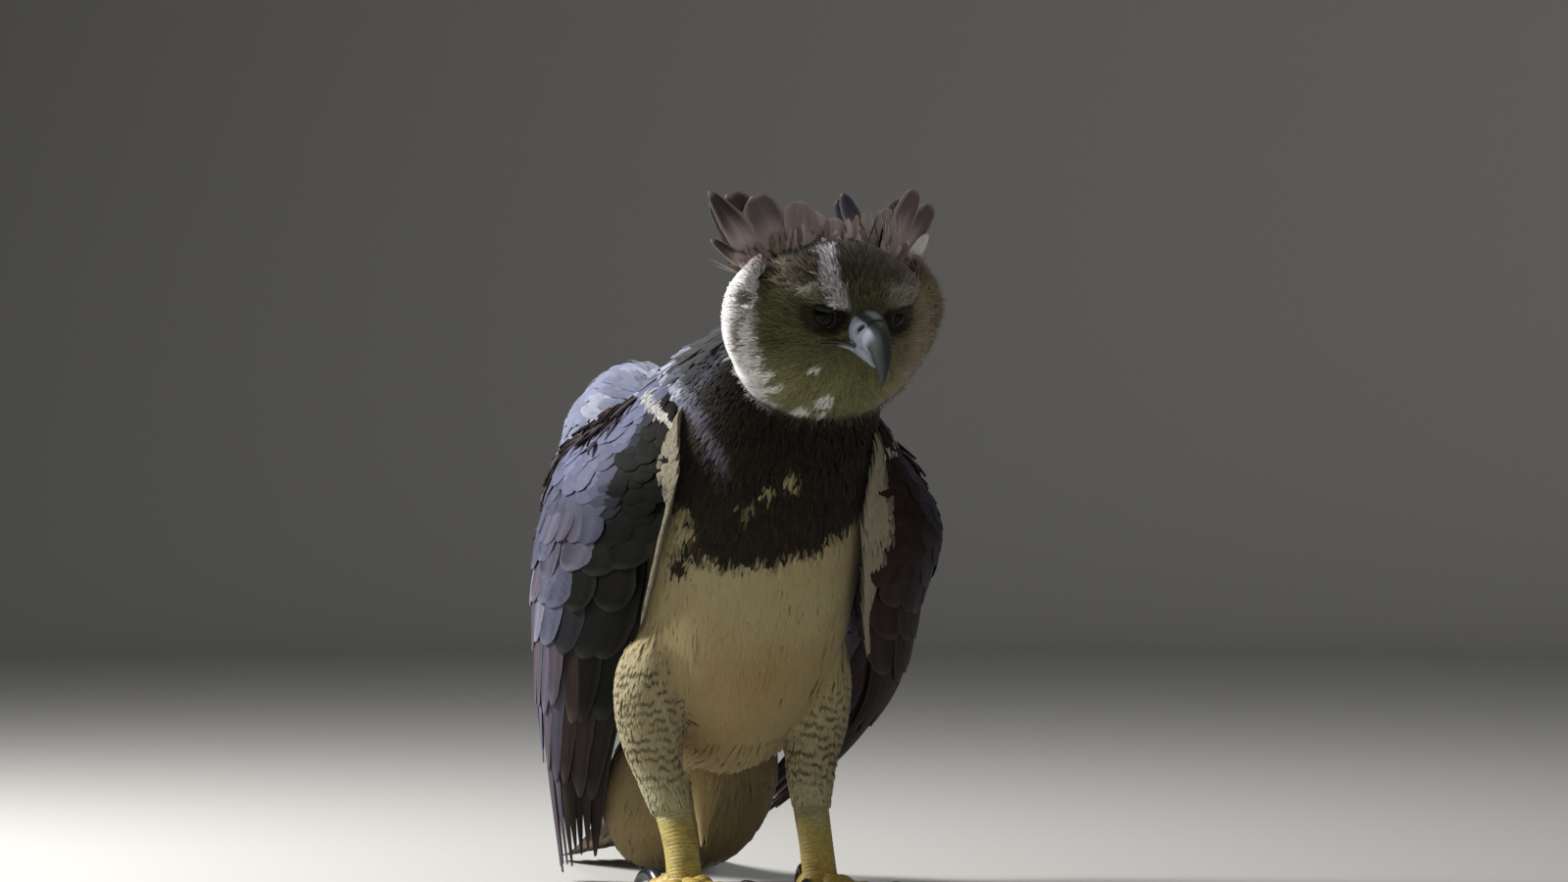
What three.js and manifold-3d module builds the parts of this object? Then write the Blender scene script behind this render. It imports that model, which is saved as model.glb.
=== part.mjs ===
// Harpy eagle, life size, in millimetres: it stands on the ground with its wings folded and a little
// drooped, its head turned to its left and tipped down, and its crest raised.
// +Z is up, the bird faces -Y, its left side is +X and its feet stand on z = 0.
import * as THREE from "three";
import { LoftGeometry } from "three/addons/geometries/LoftGeometry.js";
import { mergeVertices } from "three/addons/utils/BufferGeometryUtils.js";
import Module from "manifold-3d";

const wasm = await Module();
wasm.setup();

// Driving dimensions
const GAP = 0.3; // between touching pieces
const VANE = 0.9; // thickness of a feather's vane
const FLOOR = 0;

const EYE_RADIUS = 13;
const EYE_PLACE = [31, 38, 27]; // lateral, forward and up from the head's centre
const HEAD_CENTRE = [37, -115, 487];
const HEAD_PITCH = 22; // degrees down
const HEAD_TURN = 9; // degrees to its left
const BODY_ROLL = 8; // degrees, right shoulder up

const TAIL_FEATHERS = 12;
const TAIL_FAN = 84; // half the tail's width at its tip

const FOOT_HUB = [-14, 19]; // y and z of the middle of a foot
const ANKLE_CUT = 36; // height at which the foot meets the leg
const TOE_RADIUS = 10;

// Colours
const slate = 0x2c2d35;
const darkBrown = 0x231c1a;
const cream = 0xcfc3a6;
const faceGrey = 0x8d8578;
const hornGrey = 0x3a4048;
const yellowSkin = 0xb8912f;
const eyeBrown = 0x1a1410;
const clawBlack = 0x17161a;

// Vectors and curves
const at = (x, y, z) => new THREE.Vector3(x, y, z);
const rad = THREE.MathUtils.degToRad;
const lerp = THREE.MathUtils.lerp;
const clamp01 = (x) => THREE.MathUtils.clamp(x, 0, 1);
const X_AXIS = at(1, 0, 0);

// A smooth curve through rows of three numbers: a function that gives the point at t = 0..1 and
// goes on straight past either end.
function smooth(rows) {
  const curve = new THREE.CatmullRomCurve3(rows.map((row) => at(...row)), false, "catmullrom", 0.5);
  const step = 0.001;
  return (t) => {
    const inside = THREE.MathUtils.clamp(t, step, 1 - step);
    const point = curve.getPoint(inside);
    if (inside === t) return point;
    const way = curve.getPoint(inside + step).sub(curve.getPoint(inside - step));
    return point.addScaledVector(way, (t - inside) / (2 * step));
  };
}

// Solids
// A closed mesh as a manifold solid, turned the right way out.
function solidOf(geometry) {
  const bare = new THREE.BufferGeometry();
  bare.setAttribute("position", geometry.getAttribute("position"));
  bare.setIndex(geometry.index);
  const merged = mergeVertices(bare, 1e-4);
  const vertProperties = merged.attributes.position.array;
  const kept = [];
  for (let i = 0; i < merged.index.count; i += 3) {
    const [a, b, c] = merged.index.array.subarray(i, i + 3);
    if (a !== b && b !== c && c !== a) kept.push(a, b, c);
  }
  const triVerts = new Uint32Array(kept);
  const made = new wasm.Manifold(new wasm.Mesh({ numProp: 3, vertProperties, triVerts }));
  if (made.volume() > 0) return made;
  for (let i = 0; i < triVerts.length; i += 3) {
    [triVerts[i + 1], triVerts[i + 2]] = [triVerts[i + 2], triVerts[i + 1]];
  }
  return new wasm.Manifold(new wasm.Mesh({ numProp: 3, vertProperties, triVerts }));
}

const unionOf = (solids) => wasm.Manifold.union(solids);
const carried = (solid, matrix) => solid.transform(matrix.elements);

// The largest closed surface of a solid, which fills sealed hollows and drops loose scraps.
function largest(solid) {
  return solid.decompose().reduce((a, b) => (a.volume() > b.volume() ? a : b));
}

function meshOf(name, solid, colour, roughness = 0.8) {
  const kept = largest(solid).getMesh();
  const geometry = new THREE.BufferGeometry();
  const stride = kept.numProp;
  const position = new Float32Array(kept.numVert * 3);
  for (let i = 0; i < kept.numVert; i++) {
    position.set(kept.vertProperties.subarray(i * stride, i * stride + 3), i * 3);
  }
  geometry.setAttribute("position", new THREE.BufferAttribute(position, 3));
  geometry.setIndex(new THREE.BufferAttribute(new Uint32Array(kept.triVerts), 1));
  geometry.computeVertexNormals();
  const material = new THREE.MeshStandardMaterial({ color: colour, roughness, metalness: 0 });
  const mesh = new THREE.Mesh(geometry, material);
  mesh.name = name;
  return mesh;
}

// Rings of points joined from one end to the other, each end closed by a fan to its middle
function lofted(sections) {
  const middle = (points) => {
    const sum = points.reduce((total, point) => total.add(point), at(0, 0, 0));
    return points.map(() => sum.clone().divideScalar(points.length));
  };
  return solidOf(new LoftGeometry([middle(sections[0]), ...sections, middle(sections.at(-1))]));
}

// A closed round body: elliptic rings joined from one end to the other.
// ring(t) gives the centre and the two half-axes at t = 0..1.
function roundForm(around, along, ring) {
  const sections = [];
  for (let k = 0; k <= along; k++) {
    const { centre, wide, deep } = ring(k / along);
    const points = [];
    for (let j = 0; j < around; j++) {
      const angle = (2 * Math.PI * j) / around;
      points.push(
        centre.clone().addScaledVector(wide, Math.cos(angle)).addScaledVector(deep, Math.sin(angle)),
      );
    }
    sections.push(points);
  }
  return lofted(sections);
}

// A tapering limb along a curve, with sizes(t) giving its half-width across and its half-height.
// across is the direction of the half-width where the curve lies in one plane.
function limb(around, along, path, sizes, across = X_AXIS) {
  return roundForm(around, along, (t) => {
    const centre = path(t);
    const forward = path(t + 0.01).sub(path(t - 0.01)).normalize();
    const [half, height] = sizes(t);
    const deep = forward.clone().cross(across).normalize();
    const wide = deep.clone().cross(forward).normalize();
    return { centre, wide: wide.multiplyScalar(half), deep: deep.multiplyScalar(height) };
  });
}

function ellipsoid(centre, radii, around = 16, along = 10) {
  const geometry = new THREE.SphereGeometry(1, around, along);
  geometry.scale(...radii);
  geometry.translate(...centre);
  return solidOf(geometry);
}

// A thin plate with its triangles split alike on both faces.
// place(u, v) gives the point of its middle surface and the half-thickness vector there.
function plate(across, along, place) {
  const grid = new THREE.PlaneGeometry(1, 1, across, along);
  const uv = grid.getAttribute("uv");
  const corners = [];
  for (const face of [1, -1]) {
    for (let i = 0; i < uv.count; i++) {
      const { point, half } = place(uv.getX(i), 1 - uv.getY(i));
      corners.push(...point.clone().addScaledVector(half, face).toArray());
    }
  }
  const top = Array.from(grid.index.array);
  const index = [...top];
  for (let i = 0; i < top.length; i += 3) {
    index.push(top[i] + uv.count, top[i + 2] + uv.count, top[i + 1] + uv.count);
  }
  const columns = across + 1;
  const rim = [];
  for (let i = 0; i < along; i++) rim.push(i * columns);
  for (let i = 0; i < across; i++) rim.push(along * columns + i);
  for (let i = along; i > 0; i--) rim.push(i * columns + across);
  for (let i = across; i > 0; i--) rim.push(i);
  rim.forEach((p, i) => {
    const q = rim[(i + 1) % rim.length];
    index.push(q, p, p + uv.count, q, p + uv.count, q + uv.count);
  });
  const geometry = new THREE.BufferGeometry();
  geometry.setAttribute("position", new THREE.Float32BufferAttribute(corners, 3));
  geometry.setIndex(index);
  return solidOf(geometry);
}

// How wide a feather is at t of its length: narrower at the quill, full from a third, round at the
// tip.
function featherOutline(t, quillWidth = 0.45) {
  const quill = lerp(quillWidth, 1, Math.sin((Math.PI / 2) * clamp01(t / 0.35)));
  const past = clamp01((t - 0.72) / 0.28);
  return quill * Math.sqrt(1 - 0.93 * past * past);
}

// Rows along a feather stand closer together towards its tip
const towardsTip = (v) => 1 - (1 - v) ** 1.7;

// A feather that lies on a curved sheet. sheet(s, w, h) gives the point at s along, w across and h
// above it; the feather runs from root to tip, both [s, w]. heights gives h at its root, middle and
// tip, and tilt is how much higher its low-w edge stands than its high-w edge. grid is the number
// of its faces across and along.
function layFeather(sheet, root, tip, heights, halfWidth, tilt, grid) {
  return plate(...grid, (u, v) => {
    const t = towardsTip(v);
    const side = (2 * u - 1) * featherOutline(t);
    const s = lerp(root[0], tip[0], t);
    const w = lerp(root[1], tip[1], t) + side * halfWidth;
    const [low, middle, high] = heights;
    const h = low * (1 - t) * (1 - 2 * t) + 4 * middle * t * (1 - t) + high * t * (2 * t - 1);
    const lift = h - (tilt * side) / 2;
    const half = sheet(s, w, lift + VANE / 2).sub(sheet(s, w, lift - VANE / 2)).multiplyScalar(0.5);
    return { point: sheet(s, w, lift), half };
  });
}

// Trunk: the torso and the neck as one form, from the tail's root to inside the head
const TRUNK_STATIONS = [
  { front: [160, 138], back: [162, 148], half: 5, left: 0, roll: 0 },
  { front: [135, 114], back: [172, 172], half: 40, left: 0, roll: 0 },
  { front: [78, 106], back: [152, 224], half: 60, left: 0, roll: 0 },
  { front: [8, 122], back: [134, 282], half: 82, left: 0, roll: 0.2 },
  { front: [-50, 164], back: [114, 336], half: 95, left: 0, roll: 0.5 },
  { front: [-88, 224], back: [94, 388], half: 102, left: 0, roll: 0.8 },
  { front: [-110, 290], back: [68, 438], half: 103, left: 2, roll: 1 },
  { front: [-117, 346], back: [30, 472], half: 94, left: 8, roll: 1 },
  { front: [-113, 392], back: [-15, 490], half: 82, left: 18, roll: 0.7 },
  { front: [-104, 430], back: [-50, 508], half: 70, left: 26, roll: 0.3 },
  { front: [-96, 462], back: [-72, 514], half: 50, left: 30, roll: 0 },
];
const trunkFront = smooth(TRUNK_STATIONS.map((s) => [s.left, ...s.front]));
const trunkBack = smooth(TRUNK_STATIONS.map((s) => [s.left, ...s.back]));
const trunkSize = smooth(TRUNK_STATIONS.map((s) => [s.half, s.roll * BODY_ROLL, 0]));

const TRUNK_WAY = at(0, -1, 1); // roughly from the tail's root to the head

// The mounds of feathers over the shoulder blades, from the shoulder down beside the back
const MOUNDS = [
  [[-62, 2, 418], [-82, 50, 420], [-90, 104, 372], [-72, 142, 300]],
  [[64, -16, 400], [80, 34, 398], [90, 92, 354], [72, 136, 288]],
].map(smooth);
const moundSize = smooth([[20, 20, 0], [42, 40, 0], [40, 36, 0], [14, 12, 0]]);

function moundForm(path, grow) {
  return limb(10, 6, path, (t) => [moundSize(t).x + grow, moundSize(t).y + grow]);
}

// The long soft feathers round the vent, which hang behind the legs and nearly reach the floor
const ventPath = smooth([[6, 112, 166], [11, 150, 120], [14, 182, 72], [16, 204, 32], [17, 214, 14]]);
const ventSize = smooth([[48, 24, 0], [76, 32, 0], [80, 30, 0], [60, 18, 0], [30, 7, 0]]);

function ventForm(grow) {
  return limb(12, 5, ventPath, (t) => [ventSize(t).x + grow, ventSize(t).y + grow]);
}

function trunkForm(grow) {
  const body = roundForm(18, 14, (t) => {
    const front = trunkFront(t);
    const back = trunkBack(t);
    const size = trunkSize(t);
    const roll = rad(size.y);
    const deep = back.clone().sub(front).multiplyScalar(0.5);
    deep.setLength(deep.length() + grow);
    const wide = at(Math.cos(roll), 0, -Math.sin(roll)).multiplyScalar(size.x + grow);
    const centre = front.add(back).multiplyScalar(0.5);
    return { centre: centre.addScaledVector(TRUNK_WAY, grow * (2 * t - 1)), wide, deep };
  });
  return unionOf([body, ventForm(grow), ...MOUNDS.map((path) => moundForm(path, grow))]);
}
const trunk = trunkForm(0);
const trunkGrown = trunkForm(GAP);

// Head, in its own frame: x to its left, -y forward, z up, from the middle of the head
const headGroup = new THREE.Group();
headGroup.position.set(...HEAD_CENTRE);
headGroup.rotation.set(rad(HEAD_PITCH), 0, rad(HEAD_TURN), "ZXY");
headGroup.updateMatrix();
const intoHead = headGroup.matrix.clone().invert();

const inHead = (left, forward, up) => at(left, -forward, up);
const HEAD_RINGS = [
  // forward, half-width, half-height, up
  [-66, 14, 12, 4],
  [-60, 44, 38, 2],
  [-42, 70, 60, 0],
  [-20, 86, 73, -1],
  [2, 92, 79, -2],
  [18, 86, 75, -2],
  [30, 73, 64, 1],
  [40, 56, 48, 7],
  [48, 38, 33, 13],
  [54, 20, 18, 20],
];
const headLine = smooth(HEAD_RINGS.map(([forward, , , up]) => [0, -forward, up]));
const headSize = smooth(HEAD_RINGS.map(([, half, height]) => [half, height, 0]));

function skullForm(grow) {
  return roundForm(20, 14, (t) => {
    const size = headSize(t);
    return {
      centre: headLine(t),
      wide: at(size.x + grow, 0, 0),
      deep: at(0, 0, size.y + grow),
    };
  });
}

// Bill
const UPPER_LINE = [[42, 20], [57, 22], [72, 21], [84, 16], [92, 7], [96.5, -3], [99, -13]];
const UPPER_SIZE = [[15, 14], [13.5, 15], [11.5, 14], [9, 12], [6.5, 9], [3.6, 5.2], [0.8, 1]];
const LOWER_LINE = [[42, 5], [58, 6], [72, 4], [83, -1]];
const LOWER_SIZE = [[12, 8], [11, 8], [8.5, 7], [3.5, 3]];

function billForm(line, size, around, along, grow) {
  const path = smooth(line.map(([forward, up]) => [0, -forward, up]));
  const sizes = smooth(size.map((row) => [...row, 0]));
  return limb(around, along, path, (t) => [sizes(t).x + grow, sizes(t).y + grow]);
}

const upperForm = (grow) => billForm(UPPER_LINE, UPPER_SIZE, 12, 10, grow);
const lowerForm = (grow) => billForm(LOWER_LINE, LOWER_SIZE, 10, 5, grow);

// The nostril is a slanting slit in each side of the cere
function nostrilForm(side) {
  const slit = smooth([[side * 16, -64, 20], [side * 15, -67, 24], [side * 14, -69, 28]]);
  return limb(6, 3, slit, () => [6, 1.3]);
}

// The line of the mouth runs back from the bill, under the eye
const GAPE = [[10, 62, 6], [20, 55, 7], [28, 52, 7], [36, 48, 5]];

function gapeForm(side) {
  const line = smooth(GAPE.map(([left, forward, up]) => [side * left, -forward, up]));
  return limb(5, 4, line, (t) => [3, 1.1 - 0.5 * t], at(side, -1, 0).normalize());
}

// Eyes and the lids round them
const sides = { left: 1, right: -1 };
const eyePlace = (side) => inHead(side * EYE_PLACE[0], EYE_PLACE[1], EYE_PLACE[2]);

function eyeForm(side, grow) {
  const radius = EYE_RADIUS + grow;
  return ellipsoid(eyePlace(side).toArray(), [radius, radius, radius], 12, 8);
}

// The ring of lid, facing out along the way that the eye looks
function lidForm(side) {
  const ring = new THREE.TorusGeometry(EYE_RADIUS - 1.5, 2.4, 4, 12);
  ring.lookAt(inHead(side * 0.62, 0.78, 0.05));
  ring.translate(...eyePlace(side).add(inHead(side * 0.62, 0.78, 0.05).multiplyScalar(7)).toArray());
  return solidOf(ring);
}

function browForm(side) {
  const path = smooth([
    [side * 12, -50, 36],
    [side * 28, -47, 42],
    [side * 46, -33, 42],
    [side * 62, -10, 36],
  ]);
  return limb(6, 5, path, (t) => [3 + 6 * Math.sin(Math.PI * t), 3 + 5 * Math.sin(Math.PI * t)]);
}

// Ruff: tapered locks round the edge of the face, fuller at its upper corners
const RUFF_COUNT = 20;
const RUFF_SPAN = 130; // degrees to either side from the bottom of the face

function ruffLocks() {
  const locks = [];
  for (let i = 0; i < RUFF_COUNT; i++) {
    const angle = rad(lerp(-RUFF_SPAN, RUFF_SPAN, i / (RUFF_COUNT - 1)) - 90);
    const outward = at(Math.cos(angle), 0, Math.sin(angle));
    const along = at(-Math.sin(angle), 0, Math.cos(angle));
    const root = at(80 * outward.x, 0, 66 * outward.z);
    const full = clamp01((outward.z + 0.5) / 1.1);
    const reach = lerp(20, 38, full) * (1 + 0.08 * Math.sin(5 * i));
    locks.push(
      plate(1, 3, (u, v) => {
        const t = towardsTip(v);
        const side = 2 * u - 1;
        const point = root.clone().addScaledVector(outward, reach * Math.sin(1.35 * t));
        point.addScaledVector(along, side * 13.5 * featherOutline(t, 0.8));
        point.y += -8 + lerp(4, 24, full) * t * t + 1.3 * side;
        return { point, half: at(0, -1, 0).addScaledVector(outward, t).setLength(VANE / 2) };
      }),
    );
  }
  return locks;
}

// Crest: broad feathers raised from the back of the crown, the longest at its two sides.
// from and to are [left, forward, up] of the place where each leaves the crown and of its tip.
const CREST = [
  { from: [-72, -20, 43], to: [-106, -36, 63], half: 6 },
  { from: [-64, -22, 50], to: [-109, -48, 101], half: 12 },
  { from: [-54, -29, 54], to: [-86, -56, 97], half: 15 },
  { from: [-49, -17, 60], to: [-68, -44, 101], half: 17 },
  { from: [-30, -14, 65], to: [-25, -38, 99], half: 17 },
  { from: [-8, -24, 66], to: [-4, -48, 88], half: 12 },
  { from: [4, -14, 68], to: [10, -32, 87], half: 14 },
  { from: [30, -26, 70], to: [21, -54, 102], half: 9 },
  { from: [42, -18, 62], to: [62, -36, 93], half: 11 },
  { from: [55, -20, 60], to: [90, -46, 108], half: 11 },
  { from: [66, -26, 54], to: [112, -50, 92], half: 12 },
  { from: [76, -20, 46], to: [103, -36, 71], half: 7 },
];
const CREST_SUNK = 14;

function crestFeathers() {
  return CREST.map(({ from, to, half }) => {
    const foot = inHead(...from);
    const rise = inHead(...to).sub(foot);
    const length = rise.length() + CREST_SUNK;
    rise.normalize();
    const face = rise.clone().cross(at(rise.z, 0, -rise.x)).normalize();
    const across = face.clone().cross(rise);
    return plate(2, 3, (u, v) => {
      const t = towardsTip(v);
      const side = 2 * u - 1;
      const point = foot.clone().addScaledVector(rise, length * t - CREST_SUNK);
      point.addScaledVector(across, side * half * featherOutline(t));
      point.addScaledVector(face, 4 * t * t + 1.5 * side * side);
      return { point, half: face.clone().multiplyScalar(VANE / 2) };
    });
  });
}

function headForm() {
  let head = unionOf([skullForm(0), browForm(1), browForm(-1), lidForm(1), lidForm(-1)]);
  for (const side of [1, -1]) head = head.subtract(eyeForm(side, GAP));
  head = head.subtract(unionOf([upperForm(GAP), lowerForm(GAP), gapeForm(1), gapeForm(-1)]));
  const plumes = unionOf([...ruffLocks(), ...crestFeathers()]);
  return head.add(plumes.subtract(carried(trunkGrown, intoHead)));
}

// Wings. The folded wing is a curved sheet between a leading edge, a ridge and a trailing edge, in
// rows from the top of the shoulder down to the wing's tip. x is outward from the midline.
// The left wing hangs lower, further forward and further out.
const WINGS = {
  right: [
    { lead: [82, -68, 400], ridge: [92, -6, 428], trail: [62, 66, 446] },
    { lead: [92, -80, 352], ridge: [146, 28, 366], trail: [92, 126, 398] },
    { lead: [98, -50, 283], ridge: [152, 84, 290], trail: [84, 180, 318] },
    { lead: [92, 25, 200], ridge: [138, 138, 205], trail: [66, 222, 228] },
    { lead: [79, 122, 108], ridge: [110, 202, 112], trail: [54, 262, 130] },
    { lead: [52, 230, 12], ridge: [74, 262, 10], trail: [46, 296, 18] },
  ],
  left: [
    { lead: [84, -98, 372], ridge: [116, -45, 398], trail: [70, 38, 422] },
    { lead: [78, -102, 318], ridge: [164, -36, 326], trail: [96, 98, 380] },
    { lead: [84, -75, 250], ridge: [166, 24, 262], trail: [94, 160, 298] },
    { lead: [112, 5, 178], ridge: [160, 76, 190], trail: [82, 206, 222] },
    { lead: [110, 124, 112], ridge: [136, 160, 118], trail: [70, 252, 152] },
    { lead: [96, 236, 62], ridge: [106, 262, 58], trail: [72, 300, 86] },
  ],
};

// wingSheet(name)(s, w, h) is the point at s down the wing, w across from the leading edge and h
// outward from the sheet.
function wingSheet(name) {
  const side = sides[name];
  const curve = (key) => smooth(WINGS[name].map(({ [key]: [x, y, z] }) => [side * x, y, z]));
  const front = curve("lead");
  const middle = curve("ridge");
  const rear = curve("trail");
  // a parabola through the three curves
  const on = (s, w) => {
    const point = front(s).multiplyScalar((1 - w) * (1 - 2 * w));
    point.addScaledVector(middle(s), 4 * w * (1 - w));
    return point.addScaledVector(rear(s), w * (2 * w - 1));
  };
  return (s, w, h) => {
    const down = on(s + 0.01, w).sub(on(s - 0.01, w));
    const back = on(s, w + 0.02).sub(on(s, w - 0.02));
    const out = down.cross(back).normalize().multiplyScalar(side);
    return on(s, w).addScaledVector(out, h);
  };
}

// The arm and hand under the feathers, thick at the shoulder and thin down the wing
const CORE_END = 0.54;

function wingCore(sheet) {
  const outer = 6;
  const rows = 6;
  const sections = [];
  for (let k = 0; k <= rows; k++) {
    const t = k / rows;
    const s = lerp(-0.01, CORE_END, t);
    const top = -4 * (1 - t);
    const thick = lerp(46, 4, Math.sqrt(t)) * Math.sqrt(clamp01(0.3 + 4 * t));
    const points = [];
    for (let j = 0; j <= outer; j++) points.push(sheet(s, j / outer, top));
    for (let j = outer - 1; j > 0; j--) {
      points.push(sheet(s, j / outer, top - thick * Math.sqrt(Math.sin((Math.PI * j) / outer))));
    }
    sections.push(points);
  }
  return lofted(sections);
}

// Rows of feathers from the top of the wing down. Each row's feathers stand side by side from
// w = across[0] to across[1], their tips at s = tips[0] to tips[1]; length is in s.
const WING_ROWS = [
  { count: 5, across: [0.12, 0.9], tips: [0.21, 0.23], length: 0.16, heights: [-9, 2, 6], grid: [2, 3] },
  { count: 7, across: [0.08, 0.94], tips: [0.34, 0.37], length: 0.2, heights: [-9, 1.5, 6], grid: [2, 3] },
  { count: 7, across: [0.09, 0.93], tips: [0.49, 0.55], length: 0.26, heights: [-8, 0, 5.5], grid: [2, 3] },
  { count: 7, across: [0.2, 0.95], tips: [0.76, 0.87], length: 0.44, heights: [-7, -0.5, 5], grid: [1, 4] },
  { count: 7, across: [0.06, 0.62], tips: [0.94, 1], length: 0.55, heights: [-5, -2, 3], grid: [1, 5] },
];
const OVERLAP = 0.7; // half a feather's width as a share of the distance to the next
const STEP = 2.1; // how far a feather lifts over the next

function wingRow(sheet, row) {
  const spacing = (row.across[1] - row.across[0]) / (row.count - 1);
  const tilt = 2 * OVERLAP * STEP;
  const feathers = [];
  for (let i = 0; i < row.count; i++) {
    const share = i / (row.count - 1);
    const w = lerp(...row.across, share);
    const s = lerp(...row.tips, share) + 0.004 * Math.sin(7 * i + row.count);
    const root = [s - row.length, lerp(w, 0.5, 0.08)];
    feathers.push(
      layFeather(sheet, root, [s, w], row.heights, spacing * OVERLAP, tilt, row.grid),
    );
  }
  return feathers;
}

function wingForm(name) {
  const sheet = wingSheet(name);
  const feathers = WING_ROWS.flatMap((row) => wingRow(sheet, row));
  return unionOf([wingCore(sheet), ...feathers]);
}

// Tail: a fan on a curved sheet, s from its root to its tip and w from -1 to 1 across
const TAIL_LINE = [[0, 138, 158], [14, 235, 104], [34, 330, 55], [54, 425, 21], [66, 485, 11]];
const tailLine = smooth(TAIL_LINE);
const tailHalf = (s) => lerp(42, TAIL_FAN, clamp01(s) ** 0.9);

function tail(s, w, h) {
  const centre = tailLine(s);
  const run = tailLine(s + 0.02).sub(tailLine(s - 0.02)).normalize();
  const across = run.clone().cross(at(0, 0, 1)).normalize();
  const up = across.clone().cross(run).normalize();
  return centre.addScaledVector(across, w * tailHalf(s)).addScaledVector(up, h - 6 * w * w);
}

function tailForm() {
  const rump = roundForm(14, 6, (t) => {
    const s = lerp(-0.04, 0.42, t);
    const thin = Math.sqrt(clamp01(1 - t * t * 0.96));
    const wide = tail(s, 1, 0).sub(tail(s, -1, 0)).multiplyScalar(0.44 * thin);
    const deep = tail(s, 0, 1).sub(tail(s, 0, -1)).multiplyScalar(0.5 * lerp(34, 5, t) * thin);
    return { centre: tail(s, 0, 0), wide, deep };
  });
  const spacing = 1.7 / (TAIL_FEATHERS - 1);
  const feathers = [];
  for (let i = 0; i < TAIL_FEATHERS; i++) {
    const w = -0.85 + spacing * i;
    const lift = 1.4 * (TAIL_FEATHERS / 2 - Math.abs(i - TAIL_FEATHERS / 2 + 1)) - 5;
    const tip = [1 - 0.05 * w * w, w];
    feathers.push(
      layFeather(tail, [0.2, w * 0.7], tip, [lift, lift, lift], spacing * 0.92, 0, [1, 4]),
    );
  }
  return unionOf([rump, ...feathers]);
}

// Legs: how far out from the midline the thigh and the shank are at each row of their lines.
// The bird stands with its right foot under it and that thigh turned out.
const LEGS = {
  left: { thigh: [60, 71, 70, 66, 64], shank: [65, 64, 65, 66] },
  right: { thigh: [66, 80, 79, 71, 61.5], shank: [69, 62, 57, 56] },
};
const THIGH_LINE = [[4, 240], [6, 194], [12, 151], [10, 114], [2, 80]]; // y and z
const SHANK_LINE = [[14, 112], [5, 84], [-6, 50], FOOT_HUB];
const thighSize = smooth([[18, 24, 0], [29, 36, 0], [28, 33, 0], [22, 24, 0], [17.5, 18.5, 0]]);
const tarsusSize = smooth([[13.5, 14.5, 0], [15, 15.5, 0], [14.5, 15, 0], [15, 15.5, 0]]);

const legPath = (outward, line, side) => smooth(line.map((yz, i) => [side * outward[i], ...yz]));

function thighForm(name, grow) {
  const path = legPath(LEGS[name].thigh, THIGH_LINE, sides[name]);
  return limb(14, 7, path, (t) => [thighSize(t).x + grow, thighSize(t).y + grow]);
}

function tarsusForm(name, grow) {
  const path = legPath(LEGS[name].shank, SHANK_LINE, sides[name]);
  return limb(10, 6, path, (t) => [tarsusSize(t).x + grow, tarsusSize(t).y + grow]);
}

// Toes: turn in degrees outward from straight ahead, length without the claw, and the claw's length
const TOES = {
  inner: { turn: -30, length: 56, claw: 62, thick: 1.1 },
  middle: { turn: 4, length: 82, claw: 54, thick: 1 },
  outer: { turn: 42, length: 64, claw: 44, thick: 0.92 },
  hind: { turn: 172, length: 48, claw: 70, thick: 1.2 },
};

// The way a toe points on the floor, for the foot of one side
function toeWay(side, toe) {
  const turn = rad(toe.turn);
  return at(side * Math.sin(turn), -Math.cos(turn), 0);
}

const hub = (name) => at(sides[name] * LEGS[name].shank.at(-1), ...FOOT_HUB);

// A toe rises a little from the ball of the foot and swells at its joints, which reach the floor.
// end is the plane between the toe and its claw.
function toeForm(name, toe) {
  const way = toeWay(sides[name], toe);
  const radius = TOE_RADIUS * toe.thick;
  const start = hub(name);
  const end = hub(name).addScaledVector(way, toe.length).setZ(radius * 0.85);
  const middle = start.clone().lerp(end, 0.5).setZ(radius + 2);
  const path = smooth([start.toArray(), middle.toArray(), end.toArray()]);
  const joints = (t) => 1 + 0.13 * Math.cos(6 * Math.PI * t);
  const sizes = (t) => {
    const size = radius * lerp(1.12, 0.84, t) * joints(t);
    return [size, size];
  };
  const normal = path(1).sub(path(0.98)).normalize();
  const form = limb(8, 9, path, sizes, way.clone().cross(at(0, 0, 1)));
  return { form, way, radius, end: path(1), normal };
}

const footFloor = [0, 0, 1];

function footForm(name, toes) {
  const ball = ellipsoid(hub(name).setZ(15).toArray(), [18, 19, 17], 10, 7);
  const ankle = tarsusForm(name, 0).trimByPlane([0, 0, -1], -ANKLE_CUT);
  const trimmed = toes.map((toe) => {
    const back = toe.normal.clone().negate();
    return toe.form.trimByPlane(back.toArray(), back.dot(toe.end));
  });
  return unionOf([ball, ankle, ...trimmed]).trimByPlane(footFloor, FLOOR);
}

// A claw is a tapering arc that leaves the toe's end, rises and comes down to the floor
function clawForm(toe, length, thick) {
  const start = toe.end.clone().addScaledVector(toe.normal, -3);
  const steps = [[0, 0], [0.28, 0.2], [0.6, 0.16], [0.82, -0.02], [0.9, -0.2]];
  const reach = length * 0.85;
  const drop = start.z - 1.5;
  const arc = steps.map(([along, up]) => {
    const height = up > 0 ? up * length * 0.8 : (up / 0.2) * drop;
    return start.clone().addScaledVector(toe.way, along * reach).add(at(0, 0, height)).toArray();
  });
  const sizes = (t) => [lerp(5.6, 0.6, t) * thick, lerp(7.4, 0.7, t) * thick];
  const form = limb(6, 7, smooth(arc), sizes, toe.way.clone().cross(at(0, 0, 1)));
  return form.trimByPlane(toe.normal.toArray(), toe.normal.dot(toe.end) + GAP);
}

// Assembly
const bird = new THREE.Group();

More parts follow.
